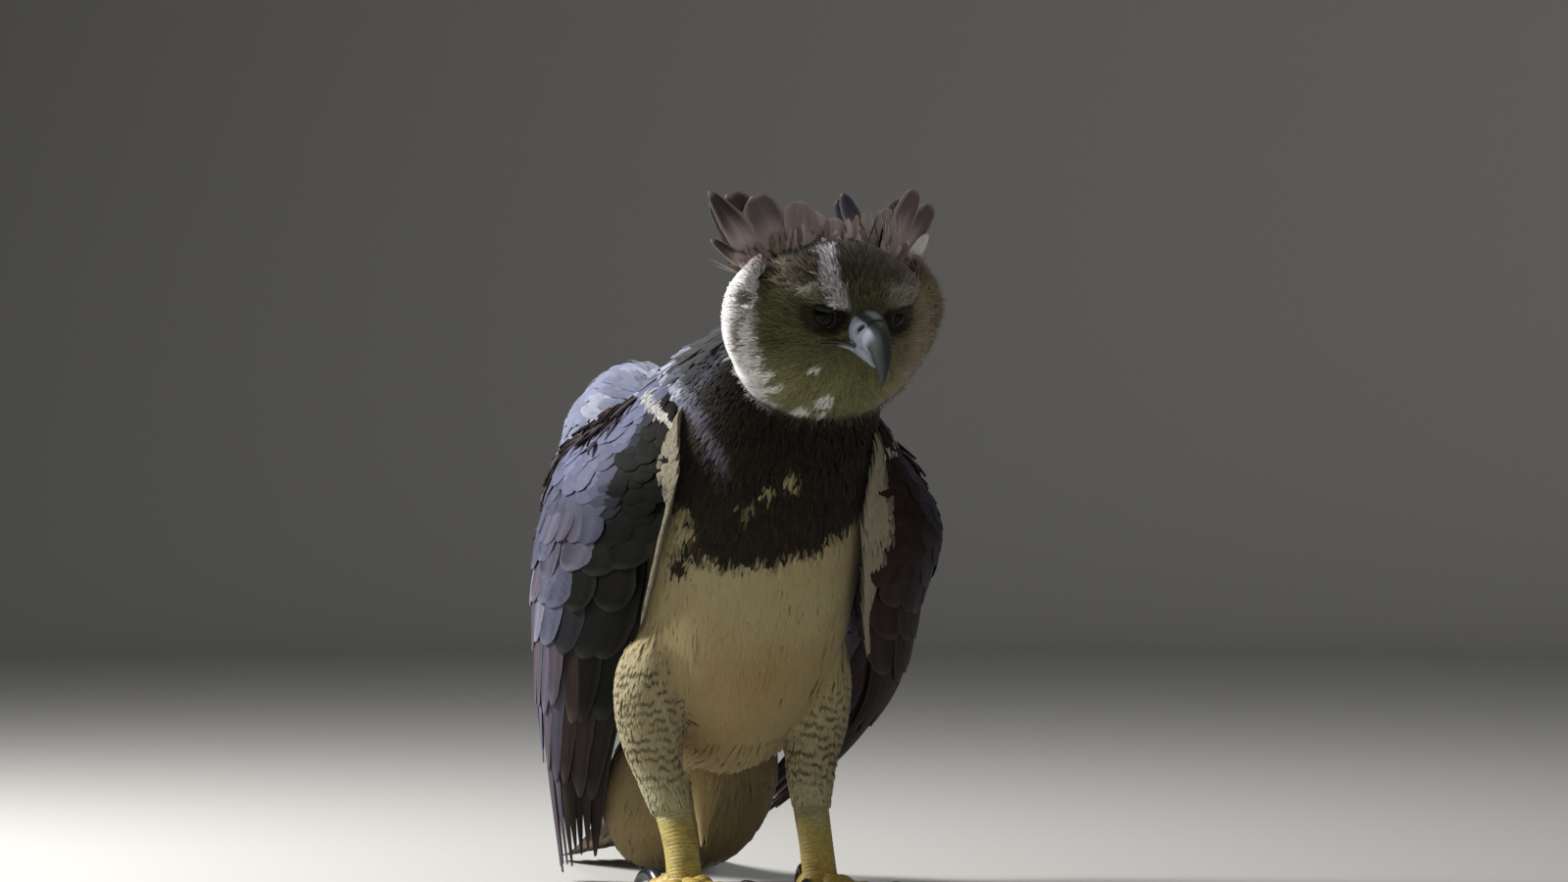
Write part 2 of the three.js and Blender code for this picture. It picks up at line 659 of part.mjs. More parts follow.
// The torso meets the neck at a plane that slopes down towards the breast
const neckNormal = at(0, -0.64, 0.768);
const neckOffset = neckNormal.dot(at(0, -57, 426));
const skullGrown = carried(skullForm(GAP), headGroup.matrix);
const torso = trunk.trimByPlane(neckNormal.clone().negate().toArray(), -neckOffset);
const neck = trunk.trimByPlane(neckNormal.toArray(), neckOffset + GAP).subtract(skullGrown);
bird.add(meshOf("torso", torso, cream));
bird.add(meshOf("neck", neck, darkBrown));

headGroup.add(meshOf("head", headForm(), faceGrey));
const nostrils = unionOf([nostrilForm(1), nostrilForm(-1)]);
headGroup.add(meshOf("bill_upper", upperForm(0).subtract(nostrils), hornGrey, 0.35));
headGroup.add(meshOf("bill_lower", lowerForm(0).subtract(upperForm(GAP)), hornGrey, 0.35));
bird.add(headGroup);

for (const [name, side] of Object.entries(sides)) {
  headGroup.add(meshOf(`eye_${name}`, eyeForm(side, 0), eyeBrown, 0.1));

  const thighGrown = thighForm(name, GAP);
  const wing = wingForm(name).subtract(unionOf([trunkGrown, thighGrown]));
  bird.add(meshOf(`wing_${name}`, wing, slate));

  const thigh = thighForm(name, 0).subtract(unionOf([trunkGrown, tarsusForm(name, GAP)]));
  bird.add(meshOf(`thigh_${name}`, thigh, cream));

  const tarsus = tarsusForm(name, 0).trimByPlane([0, 0, 1], ANKLE_CUT + GAP);
  bird.add(meshOf(`tarsus_${name}`, tarsus, yellowSkin, 0.6));

  const toes = Object.values(TOES).map((toe) => toeForm(name, toe));
  bird.add(meshOf(`foot_${name}`, footForm(name, toes), yellowSkin, 0.6));
  Object.entries(TOES).forEach(([toeName, { claw, thick }], i) => {
    bird.add(meshOf(`claw_${toeName}_${name}`, clawForm(toes[i], claw, thick), clawBlack, 0.3));
  });
}
bird.add(meshOf("tail", tailForm().subtract(trunkGrown), slate));

// The origin is at the middle of the bird's box, on the floor
bird.updateMatrixWorld(true);
const middle = new THREE.Box3().setFromObject(bird, true).getCenter(at(0, 0, 0));
bird.position.set(-middle.x, -middle.y, 0);

const eagle = new THREE.Group();
eagle.add(bird);

export default eagle;
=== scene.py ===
# %% [markdown]
# Harpy eagle, life size. The solids that arrive with the frame give every part its true place and
# size. This script dresses them: a skin for the flesh, then the plumage feather by feather, the
# horn of the bill and claws, the scaled feet and the eyes. Each shape is a numpy surface, a
# function of two parameters worked out on a whole grid at once, because a formula can be read,
# changed and run again, and gives the same bird each time.

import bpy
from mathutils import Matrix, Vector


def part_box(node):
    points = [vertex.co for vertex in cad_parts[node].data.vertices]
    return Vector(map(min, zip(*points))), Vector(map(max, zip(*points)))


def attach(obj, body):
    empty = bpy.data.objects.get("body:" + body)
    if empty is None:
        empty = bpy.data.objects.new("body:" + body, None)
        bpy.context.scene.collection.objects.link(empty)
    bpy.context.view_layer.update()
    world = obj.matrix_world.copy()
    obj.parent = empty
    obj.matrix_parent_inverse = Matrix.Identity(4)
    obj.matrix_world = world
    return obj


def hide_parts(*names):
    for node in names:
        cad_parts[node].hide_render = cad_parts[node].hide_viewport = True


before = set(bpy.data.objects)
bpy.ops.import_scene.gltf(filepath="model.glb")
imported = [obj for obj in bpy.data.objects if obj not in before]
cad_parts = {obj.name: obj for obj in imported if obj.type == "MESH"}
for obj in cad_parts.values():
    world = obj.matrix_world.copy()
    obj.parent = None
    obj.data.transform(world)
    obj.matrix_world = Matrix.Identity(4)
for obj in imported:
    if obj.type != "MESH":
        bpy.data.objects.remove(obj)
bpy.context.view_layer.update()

# %% [markdown]
# All sizes below are in millimetres in the bird's own frame: x to its left, y towards its tail, z
# up, with the feet on z = 0. The frame's origin is at the middle of its box instead, so one shift
# joins the two. It is found from the left eye, a ball whose middle both frames know.

# %% Units and the shift between the frames
import math

import bpy
import numpy as np
from mathutils import kdtree

MM = 0.001
rng = np.random.default_rng(11)

HEAD_CENTRE = np.array([37.0, -115.0, 487.0])
HEAD_PITCH = math.radians(22)
HEAD_TURN = math.radians(9)
EYE_PLACE = (31.0, 38.0, 27.0)
EYE_RADIUS = 13.0
SIDES = {"left": 1, "right": -1}


def turn_about_x(angle):
    """Rotation matrix about the x axis."""
    c, s = math.cos(angle), math.sin(angle)
    return np.array([[1, 0, 0], [0, c, -s], [0, s, c]])


def turn_about_z(angle):
    """Rotation matrix about the z axis."""
    c, s = math.cos(angle), math.sin(angle)
    return np.array([[c, -s, 0], [s, c, 0], [0, 0, 1]])


HEAD_TURNED = turn_about_z(HEAD_TURN) @ turn_about_x(HEAD_PITCH)


def from_head(points):
    """Points in the head's frame (left, back, up from its middle) to the bird's frame."""
    return np.asarray(points) @ HEAD_TURNED.T + HEAD_CENTRE


def into_head(points):
    """Points in the bird's frame to the head's frame."""
    return (np.asarray(points) - HEAD_CENTRE) @ HEAD_TURNED


def in_head(left, forward, up):
    """A point of the head's frame named by left, forward and up."""
    return np.array([left, -forward, up], float)


eye_low, eye_high = (np.array(corner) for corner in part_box("eye_left"))
SHIFT = (eye_low + eye_high) / 2 / MM - from_head(in_head(*EYE_PLACE))
print("shift in mm:", np.round(SHIFT, 2))

# %% [markdown]
# The camera stands far off at the height of the chest, a little to the bird's right of straight
# ahead, as a long lens does. It is set before anything else, so that each piece can be judged in
# the photograph's own framing from its first render.

# %% Camera


def placed(name, data):
    """An object for a camera, light or mesh, put in the scene."""
    thing = bpy.data.objects.new(name, data)
    bpy.context.scene.collection.objects.link(thing)
    return thing


CAMERA_DISTANCE = 4500.0
CAMERA_HEIGHT = 393.0
CAMERA_SIDE = 36.0
PIXELS_PER_MM = 1.2
IMAGE_WIDTH = 1600
VIEW_RIGHT = np.array([0.940, -0.342, 0.0])
VIEW_AWAY = np.array([0.342, 0.940, 0.0])

camera_data = bpy.data.cameras.new("camera")
camera_data.sensor_width = 36.0
camera_data.lens = PIXELS_PER_MM * CAMERA_DISTANCE / IMAGE_WIDTH * camera_data.sensor_width
camera = placed("camera", camera_data)
stand_point = CAMERA_SIDE * VIEW_RIGHT - CAMERA_DISTANCE * VIEW_AWAY + (0, 0, CAMERA_HEIGHT)
camera.location = (stand_point + SHIFT) * MM
camera.rotation_euler = (math.pi / 2, 0, -math.atan2(VIEW_AWAY[0], VIEW_AWAY[1]))
bpy.context.scene.camera = camera
print("lens:", round(camera_data.lens, 1), "mm")

# %% [markdown]
# Nearly every part of a bird is a tube of changing size round a bent line. These helpers are a
# smooth line through a few chosen points, a tube round such a line, and the faces that join the
# tube's rings and close its two ends.

# %% Curves and tubes
PATH_STEP = 0.01
THINNEST = 0.3


def unit(vectors):
    """Vectors of length one, along the last axis."""
    return vectors / np.maximum(np.linalg.norm(vectors, axis=-1, keepdims=True), 1e-9)


def dot(a, b):
    """Dot products along the last axis, which is kept."""
    return (a * b).sum(-1, keepdims=True)


def lerp(a, b, t):
    """The value t of the way from a to b."""
    return a + (b - a) * t


def ease(low, high, x):
    """0 below low, 1 above high, with a smooth turn between them: s * s * (3 - 2 * s)."""
    s = np.clip((x - low) / (high - low), 0, 1)
    return s * s * (3 - 2 * s)


def spline(rows, t):
    """Points at t = 0..1 on a Catmull-Rom curve through rows, straight on past its ends."""
    rows = np.asarray(rows, float)
    t = np.asarray(t, float)
    ends = np.vstack([2 * rows[0] - rows[1], rows, 2 * rows[-1] - rows[-2]])
    inside = np.clip(t, 0, 1)
    place = inside * (len(rows) - 1)
    k = np.minimum(place.astype(int), len(rows) - 2)
    f = (place - k)[..., None]
    a, b, c, d = ends[k], ends[k + 1], ends[k + 2], ends[k + 3]
    curve = b + 0.5 * f * (c - a + f * (2 * a - 5 * b + 4 * c - d + f * (3 * (b - c) + d - a)))
    past = (t - inside)[..., None]
    way = np.where(past < 0, rows[1] - rows[0], rows[-1] - rows[-2]) * (len(rows) - 1)
    return curve + way * past


def across_path(path, t, across):
    """The two directions square to a path: wide, which lies along across, and deep."""
    forward = unit(spline(path, t + PATH_STEP) - spline(path, t - PATH_STEP))
    deep = unit(np.cross(forward, across))
    return unit(np.cross(deep, forward)), deep


def limb(path, sizes, t, angle, across=(1, 0, 0), grow=0.0):
    """A tube: the path's point plus half-width * cos(angle) across plus half-height * sin(angle)."""
    wide, deep = across_path(path, t, across)
    size = np.maximum(spline(sizes, t) + grow, THINNEST)
    ring = wide * size[..., :1] * np.cos(angle)[..., None]
    return spline(path, t) + ring + deep * size[..., 1:2] * np.sin(angle)[..., None]


def tube_faces(along, around):
    """Quads between rings of points, and triangles to the two poles that follow the rings."""
    ring = np.arange(around)
    after = (ring + 1) % around
    row = np.arange(along - 1)[:, None] * around
    quads = np.stack([row + ring, row + after, row + around + after, row + around + ring], -1)
    first, last = along * around, along * around + 1
    top = (along - 1) * around
    start = np.stack([after, ring, np.full(around, first)], -1)
    end = np.stack([top + ring, top + after, np.full(around, last)], -1)
    return quads.reshape(-1, 4), np.concatenate([start, end])


def grid(along, around):
    """t = 0..1 and angle = 0..2 pi on a grid of rings."""
    return np.meshgrid(
        np.linspace(0, 1, along), np.linspace(0, 2 * np.pi, around, False), indexing="ij"
    )


def tube_points(surface, along, around):
    """A surface(t, angle) on a grid of rings, with the middle of its first and last ring."""
    points = surface(*grid(along, around))
    return np.vstack([points.reshape(-1, 3), points[0].mean(0), points[-1].mean(0)])


# %% [markdown]
# A finished array becomes a mesh in one go: positions, faces, colours and UV maps are all handed
# over with foreach_set. The faces are turned outwards by the sign of the volume that they enclose.

# %% Mesh making


def closed_volume(points, faces):
    """The volume inside closed faces: the sum of a . (b x c) / 6 over their triangles."""
    total = 0.0
    for k in range(1, faces.shape[1] - 1):
        a, b, c = (points[faces[:, i]] for i in (0, k, k + 1))
        total += np.einsum("ij,ij->", a, np.cross(b, c)) / 6
    return total


def mesh_of(name, points, quads, triangles=None, turn=True):
    """A mesh in metres in the shared frame, from points in mm in the bird's frame."""
    triangles = np.zeros((0, 3), int) if triangles is None else triangles
    middle = points - points.mean(0)
    inside_out = closed_volume(middle, quads) + closed_volume(middle, triangles) < 0
    if turn and inside_out:
        quads, triangles = quads[:, ::-1], triangles[:, ::-1]
    corners = np.concatenate([quads.ravel(), triangles.ravel()]).astype(np.int32)
    starts = np.concatenate(
        [np.arange(len(quads)) * 4, len(quads) * 4 + np.arange(len(triangles)) * 3]
    )
    mesh = bpy.data.meshes.new(name)
    mesh.vertices.add(len(points))
    mesh.vertices.foreach_set("co", ((points + SHIFT) * MM).astype(np.float32).ravel())
    mesh.loops.add(len(corners))
    mesh.loops.foreach_set("vertex_index", corners)
    mesh.polygons.add(len(starts))
    mesh.polygons.foreach_set("loop_start", starts.astype(np.int32))
    mesh.update(calc_edges=True)
    mesh.shade_smooth()
    return mesh


def give_uv(mesh, name, uv):
    """A UV map with one value for each vertex."""
    corners = np.zeros(len(mesh.loops), np.int32)
    mesh.loops.foreach_get("vertex_index", corners)
    layer = mesh.uv_layers.new(name=name)
    layer.data.foreach_set("uv", uv.astype(np.float32)[corners].ravel())


def give_colour(mesh, colour):
    """The colour attribute Plumage, with one linear colour for each vertex."""
    rgba = np.ones((len(mesh.vertices), 4), np.float32)
    rgba[:, :3] = np.clip(colour, 0, 1)
    layer = mesh.color_attributes.new("Plumage", "FLOAT_COLOR", "POINT")
    layer.data.foreach_set("color", rgba.ravel())


def piece_of(mesh, material, replaces=()):
    """A piece that rides on the body, takes a material slot and stands for some solids."""
    piece = placed(mesh.name, mesh)
    mesh.materials.append(material)
    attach(piece, "root")
    if replaces:
        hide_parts(*replaces)
    print(mesh.name, "triangles:", len(mesh.loops) - 2 * len(mesh.polygons))
    return piece


# %% [markdown]
# The trunk and neck are one form. Each row below gives the front and back of the body in side
# view, half its width, how far it leans to the left and how much of the shoulders' roll it takes.
# The mounds are the thick feathers over the shoulder blades. Behind the legs hang the long soft
# feathers round the vent, with one loose tuft between the legs.

# %% Trunk, mounds and head as surfaces
BODY_ROLL = math.radians(8)
TRUNK_FRONT = [
    (0, 160, 138), (0, 135, 114), (0, 78, 106), (0, 8, 122), (0, -50, 164), (0, -88, 224),
    (2, -110, 290), (8, -117, 346), (18, -113, 392), (26, -104, 430), (30, -96, 462),
]
TRUNK_BACK = [
    (0, 162, 148), (0, 172, 172), (0, 152, 224), (0, 134, 282), (0, 114, 336), (0, 94, 388),
    (2, 68, 438), (8, 30, 472), (18, -15, 490), (26, -50, 508), (30, -72, 514),
]
TRUNK_HALF_AND_ROLL = [
    (5, 0), (40, 0), (60, 0), (82, 0.2), (95, 0.5), (102, 0.8), (103, 1), (94, 1), (82, 0.7),
    (70, 0.3), (50, 0),
]
MOUNDS = {
    "right": [(-62, 2, 418), (-82, 50, 420), (-90, 104, 372), (-72, 142, 300)],
    "left": [(64, -16, 400), (80, 34, 398), (90, 92, 354), (72, 136, 288)],
}
MOUND_SIZE = [(20, 20), (42, 40), (40, 36), (14, 12)]
VENT_LINE = [(6, 112, 166), (11, 150, 120), (14, 182, 72), (16, 204, 32), (17, 214, 14)]
VENT_SIZE = [(48, 24), (76, 32), (80, 30), (60, 18), (30, 7)]
TUFT_LINE = [(-4, 60, 160), (-7, 66, 116), (-9, 70, 78), (-10, 72, 58)]
TUFT_SIZE = [(22, 18), (15, 11), (8, 6), (2.5, 2.5)]
SKULL_LINE = [
    (0, 66, 4), (0, 60, 2), (0, 42, 0), (0, 20, -1), (0, -2, -2), (0, -18, -2), (0, -30, 1),
    (0, -40, 7), (0, -48, 13), (0, -54, 20),
]
SKULL_SIZE = [
    (14, 12), (44, 38), (70, 60), (86, 73), (92, 79), (86, 75), (73, 64), (56, 48), (38, 33),
    (20, 18),
]


def trunk(t, angle, grow=0.0):
    """Elliptic rings between the front and back lines; sin(angle) is 1 at the back."""
    front, back = spline(TRUNK_FRONT, t), spline(TRUNK_BACK, t)
    size = spline(TRUNK_HALF_AND_ROLL, t)
    roll = size[..., 1] * BODY_ROLL
    deep = (back - front) / 2
    deep = deep + unit(deep) * grow
    wide = np.stack([np.cos(roll), 0 * roll, -np.sin(roll)], -1) * (size[..., :1] + grow)
    centre = (front + back) / 2
    return centre + wide * np.cos(angle)[..., None] + deep * np.sin(angle)[..., None]


def skull(t, angle, grow=0.0):
    """Upright elliptic rings from the nape to the bill, carried into the bird's frame."""
    centre, size = spline(SKULL_LINE, t), spline(SKULL_SIZE, t) + grow
    left = size[..., 0] * np.cos(angle)
    up = size[..., 1] * np.sin(angle)
    return from_head(centre + np.stack([left, 0 * left, up], -1))


def tube(path, sizes):
    """A limb as a surface of t and angle that can be grown or shrunk."""
    return lambda t, angle, grow=0.0: limb(path, sizes, t, angle, grow=grow)


# %% [markdown]
# A folded wing is a curved sheet. Three lines run down it from the shoulder to the tip: its
# leading edge, its ridge and its trailing edge. A parabola across them gives every point between,
# so a feather can be placed by two shares, s down the wing and w across it, and a height h.

# %% Wing and tail sheets
WINGS = {
    "right": {
        "lead": [(82, -68, 400), (92, -80, 352), (98, -50, 283), (92, 25, 200), (79, 122, 108),
                 (52, 230, 12)],
        "ridge": [(92, -6, 428), (146, 28, 366), (152, 84, 290), (138, 138, 205), (110, 202, 112),
                  (74, 262, 10)],
        "trail": [(62, 66, 446), (92, 126, 398), (84, 180, 318), (66, 222, 228), (54, 262, 130),
                  (46, 296, 18)],
    },
    "left": {
        "lead": [(84, -98, 372), (78, -102, 318), (84, -75, 250), (112, 5, 178), (110, 124, 112),
                 (96, 236, 62)],
        "ridge": [(116, -45, 398), (164, -36, 326), (166, 24, 262), (160, 76, 190), (136, 160, 118),
                  (106, 262, 58)],
        "trail": [(70, 38, 422), (96, 98, 380), (94, 160, 298), (82, 206, 222), (70, 252, 152),
                  (72, 300, 86)],
    },
}
WING_CORE_END = 0.54
TAIL_LINE = [(0, 138, 158), (14, 235, 104), (34, 330, 55), (54, 425, 21), (66, 485, 11)]
TAIL_ROOT_HALF = 42
TAIL_TIP_HALF = 84


def wing_sheet(name):
    """The wing of one side as a function of s, w and h."""
    side = np.array([SIDES[name], 1, 1])
    lead, ridge, trail = (np.array(WINGS[name][key]) * side for key in ("lead", "ridge", "trail"))

    def flat(s, w):
        """The parabola in w through the three lines' points at s."""
        w = w[..., None]
        near = spline(lead, s) * (1 - w) * (1 - 2 * w) + spline(ridge, s) * 4 * w * (1 - w)
        return near + spline(trail, s) * w * (2 * w - 1)

    def raised(s, w, h):
        """The sheet's point plus h along the direction square to it, outwards."""
        down = flat(s + 0.01, w) - flat(s - 0.01, w)
        back = flat(s, w + 0.02) - flat(s, w - 0.02)
        out = unit(np.cross(down, back)) * SIDES[name]
        return flat(s, w) + out * h[..., None]

    return raised


def wing_core(name):
    """The arm and hand inside the wing, thick at the shoulder, as a surface of t and angle."""
    sheet = wing_sheet(name)

    def surface(t, angle, grow=0.0):
        """The first half turn runs over the top of the sheet, the second one back beneath it."""
        s = lerp(-0.01, WING_CORE_END, t)
        w = np.where(angle < np.pi, angle / np.pi, 2 - angle / np.pi)
        top = -4 * (1 - t) + grow
        thick = lerp(46, 4, np.sqrt(t)) * np.sqrt(np.clip(0.3 + 4 * t, 0, 1)) + 2 * grow
        under = np.maximum(thick, 1) * np.sqrt(np.sin(np.pi * np.clip(w, 0, 1)))
        return sheet(s, w, np.where(angle < np.pi, top, top - under))

    return surface


def tail(s, w, h):
    """The fan of the tail: s from its root to its tip, w from -1 to 1 across, h above it."""
    run = unit(spline(TAIL_LINE, s + 0.02) - spline(TAIL_LINE, s - 0.02))
    across = unit(np.cross(run, (0, 0, 1)))
    up = unit(np.cross(across, run))
    half = lerp(TAIL_ROOT_HALF, TAIL_TIP_HALF, np.clip(s, 0, 1) ** 0.9)
    out = across * (w * half)[..., None] + up * (h - 6 * w * w)[..., None]
    return spline(TAIL_LINE, s) + out


def rump(t, angle, grow=0.0):
    """The muscle and short feathers over the tail's root."""
    s = lerp(-0.04, 0.42, t)
    thin = np.sqrt(np.clip(1 - 0.96 * t * t, 0, 1))
    zero = 0 * s
    wide = (tail(s, zero + 1, zero) - tail(s, zero - 1, zero)) * 0.44
    deep = (tail(s, zero, zero + 1) - tail(s, zero, zero - 1)) * 0.5 * lerp(34, 5, t)[..., None]
    wide, deep = wide * thin[..., None], deep * thin[..., None]
    wide, deep = wide + unit(wide) * grow, deep + unit(deep) * grow
    ring = wide * np.cos(angle)[..., None] + deep * np.sin(angle)[..., None]
    return tail(s, zero, zero) + ring


# %% [markdown]
# The thighs are tubes like the trunk. The head has three more forms: a brow and a hood over each
# eye, which cut its circle straight and give a bird of prey its stern look, and the raised rim of
# the facial disc, on which the ruff grows.

# %% Thighs, brows and the rim of the face
THIGH_SIZE = [(18, 24), (29, 36), (28, 33), (22, 24), (17.5, 18.5)]
THIGH_X = {"left": [60, 71, 70, 66, 64], "right": [66, 80, 79, 71, 61.5]}
THIGH_LINE = [(4, 240), (6, 194), (12, 151), (10, 114), (2, 80)]
BROW_LINE = [(12, -50, 36), (28, -47, 42), (46, -33, 42), (62, -10, 36)]
BROW_SIZE = [(3, 3), (8, 7), (9, 8), (3, 3)]
HOOD_LINE = [(50, -23, 31), (43.5, -33.5, 37.6), (34, -41.5, 40), (24.4, -47.2, 37), (14, -49.5, 31)]
HOOD_SIZE = [(2.5, 2.5), (4, 4.2), (5, 4.8), (4.6, 4.4), (3, 2.5)]
RUFF_SPAN = math.radians(132)
RUFF_TURNS = np.linspace(-RUFF_SPAN, RUFF_SPAN, 15) - np.pi / 2


def leg_path(name, x_row, line):
    """A leg's line from its distances to the side and its (back, up) rows."""
    return [(SIDES[name] * x, *row) for x, row in zip(x_row, line)]


def thigh(name):
    """One thigh as a surface of t and angle."""
    return tube(leg_path(name, THIGH_X[name], THIGH_LINE), THIGH_SIZE)


def head_ridge(name, rows, sizes):
    """A ridge of the head's left side, mirrored for the right one."""
    line = [(SIDES[name] * x, y, z) for x, y, z in rows]
    return lambda t, angle, grow=0.0: from_head(limb(line, sizes, t, angle, grow=grow))


def ruff_fullness(turn):
    """How full the ruff is at a turn round the face: 0 at the chin and 1 at its upper corners."""
    return np.clip((np.sin(turn) + 0.5) / 1.1, 0, 1)


def ruff_rim(t, angle, grow=0.0):
    """The raised rim round the face, open at the crown."""
    full = ruff_fullness(RUFF_TURNS)
    reach = lerp(20, 38, full) * 0.97 - 15
    path = np.stack([(76 + reach) * np.cos(RUFF_TURNS), 10 * full - 4,
                     (62 + reach) * np.sin(RUFF_TURNS)], -1)
    thin = np.sqrt(np.clip(1 - np.abs(np.linspace(-1, 1, 15)) ** 6, 0.1, 1))
    sizes = np.stack([13 * thin, 9 * thin], -1)
    return from_head(limb(path, sizes, t, angle, across=(0, 1, 0), grow=grow))


# %% [markdown]
# One skin stands for all the flesh, so that no seam shows where the parts join. The forms are
# joined, a voxel remesh fuses them, and a light smoothing rounds the joints. Each form is a few
# millimetres smaller than its solid, because the coat of feathers brings it back to size. Where a
# form is hardly thicker than a voxel, the remesh leaves small closed scraps of it beside the skin.

# %% Forms of the skin
FORMS = [
    # part, surface, points along and around, shrink for the coat, way of the feathers along t
    ("trunk", trunk, 80, 72, -4.5, -1),
    ("mound", tube(MOUNDS["right"], MOUND_SIZE), 30, 32, -6.0, 1),
    ("mound", tube(MOUNDS["left"], MOUND_SIZE), 30, 32, -6.0, 1),
    ("head", skull, 70, 72, -3.5, -1),
    *[("head", head_ridge(name, BROW_LINE, BROW_SIZE), 24, 16, -2.0, -1) for name in SIDES],
    *[("head", head_ridge(name, HOOD_LINE, HOOD_SIZE), 24, 16, -0.6, -1) for name in SIDES],
    ("ruff", ruff_rim, 80, 24, 0.0, 1),
    *[("thigh", thigh(name), 40, 32, -3.0, 1) for name in SIDES],
    ("wing", wing_core("right"), 30, 32, -2.0, 1),
    ("wing", wing_core("left"), 30, 32, -2.0, 1),
    ("rump", rump, 30, 32, -2.0, 1),
    ("vent", tube(VENT_LINE, VENT_SIZE), 30, 40, -4.0, 1),
    ("vent", tube(TUFT_LINE, TUFT_SIZE), 30, 20, -1.0, 1),
]
PARTS = ["trunk", "mound", "head", "ruff", "thigh", "wing", "rump", "vent"]
SKIN_VOXEL = 2.3


def gathered(surfaces):
    """Points, quads and triangles of several closed tubes (surface, along, around) together."""
    points, quads, triangles = [], [], []
    first = 0
    for surface, along, around in surfaces:
        form = tube_points(surface, along, around)
        four, three = tube_faces(along, around)
        if closed_volume(form - form.mean(0), four) < 0:
            four, three = four[:, ::-1], three[:, ::-1]
        points.append(form)
        quads.append(four + first)
        triangles.append(three + first)
        first += len(form)
    return np.vstack(points), np.vstack(quads), np.vstack(triangles)


def applied(piece, name):
    """The mesh of a helper object with its modifiers applied; the helper is removed."""
    seen = piece.evaluated_get(bpy.context.evaluated_depsgraph_get())
    made = bpy.data.meshes.new_from_object(seen)
    mesh = piece.data
    bpy.data.objects.remove(piece)
    bpy.data.meshes.remove(mesh)
    made.name = name
    made.shade_smooth()
    return made


def fused(name, surfaces, voxel, smooth):
    """A mesh of closed tubes fused by a voxel remesh and smoothed."""
    piece = placed(name, mesh_of(name, *gathered(surfaces), turn=False))
    remesh = piece.modifiers.new("fuse", "REMESH")
    remesh.mode = "VOXEL"
    remesh.voxel_size = voxel * MM
    soften = piece.modifiers.new("soften", "SMOOTH")
    soften.factor = 0.5
    soften.iterations = smooth
    return applied(piece, name)


def shrunk(surface, shrink):
    """The surface with the coat's depth taken off."""
    return lambda t, angle: surface(t, angle, shrink)


skin_mesh = fused("skin", [(shrunk(f[1], f[4]), f[2], f[3]) for f in FORMS], SKIN_VOXEL, 6)


def points_and_normals(mesh):
    """Points of a mesh in the bird's frame and its normals."""
    points = np.zeros(len(mesh.vertices) * 3, np.float32)
    normals = np.zeros(len(mesh.vertices) * 3, np.float32)
    mesh.vertices.foreach_get("co", points)
    mesh.vertex_normals.foreach_get("vector", normals)
    return points.reshape(-1, 3).astype(float) / MM - SHIFT, normals.reshape(-1, 3).astype(float)


skin_points, skin_normals = points_and_normals(skin_mesh)
print("skin points:", len(skin_points))

# %% [markdown]
# Every feather has to know which part it grows on, which way the plumage lies there and where it
# is on a flat map of the bird. The formulas of the forms know all three, so points on them are
# sampled, and each point of the skin takes the facts of the nearest one. On the head the plumage
# fans out from the bill. Averaging over the neighbours turns the lie smoothly between parts, and
# fills the sharp creases below the head, which soft feathers would hide.

# %% Map of the body
UNWRAP_COLUMNS = 4
LIE_SMOOTHING = 12
CREASE_ROUNDS = 60
CREASE_FILLING = 9.0
BILL_ROOT = np.array([0.0, -58.0, 14.0])


def nearest(tree, points):
    """For each point the index of the tree's nearest one."""
    return np.array([tree.find(point)[1] for point in points])


def tree_of(points):
    """A search tree over points."""
    tree = kdtree.KDTree(len(points))
    for i, point in enumerate(points):
        tree.insert(point, i)
    tree.balance()
    return tree


def sampled(forms, along=48, around=48):
    """Points on the forms with their lie, part, t, angle and place on the flat map."""
    rows = []
    for k, (part, surface, _, _, shrink, way) in enumerate(forms):
        t, angle = np.meshgrid(
            np.linspace(0.005, 0.995, along), np.linspace(0, 2 * np.pi, around, False), indexing="ij"
        )
        points = surface(t, angle, shrink)
        lie = unit(surface(t + 0.01 * way, angle, shrink) - points)
        column, row = k % UNWRAP_COLUMNS, k // UNWRAP_COLUMNS
        u = (column + 0.04 + 0.92 * angle / (2 * np.pi)) / UNWRAP_COLUMNS
        v = (row + 0.04 + 0.92 * t) / UNWRAP_COLUMNS
        kind = np.full(t.shape, PARTS.index(part))
        rows.append(np.concatenate([points, lie, np.stack([kind, t, angle, u, v], -1)], -1))
    return np.concatenate([row.reshape(-1, 11) for row in rows])


def part_is(part, *names):
    """True where the part is one of names."""
    return np.isin(part, [PARTS.index(name) for name in names])


samples = sampled(FORMS)
body_map = samples[nearest(tree_of(samples[:, :3]), skin_points)]
skin_part = body_map[:, 6].astype(int)
skin_t, skin_angle, skin_uv = body_map[:, 7], body_map[:, 8], body_map[:, 9:11]
edges = np.zeros(len(skin_mesh.edges) * 2, np.int32)
skin_mesh.edges.foreach_get("vertices", edges)
edges = edges.reshape(-1, 2)


def smoothed(values, rounds):
    """Values of the skin's points averaged with their neighbours, rounds times."""
    count = np.bincount(edges.ravel(), minlength=len(values))[:, None] + 1
    for _ in range(rounds):
        total = values.copy()
        for axis in range(values.shape[1]):
            total[:, axis] += np.bincount(edges[:, 0], values[edges[:, 1], axis], len(values))
            total[:, axis] += np.bincount(edges[:, 1], values[edges[:, 0], axis], len(values))
        values = total / count
    return values


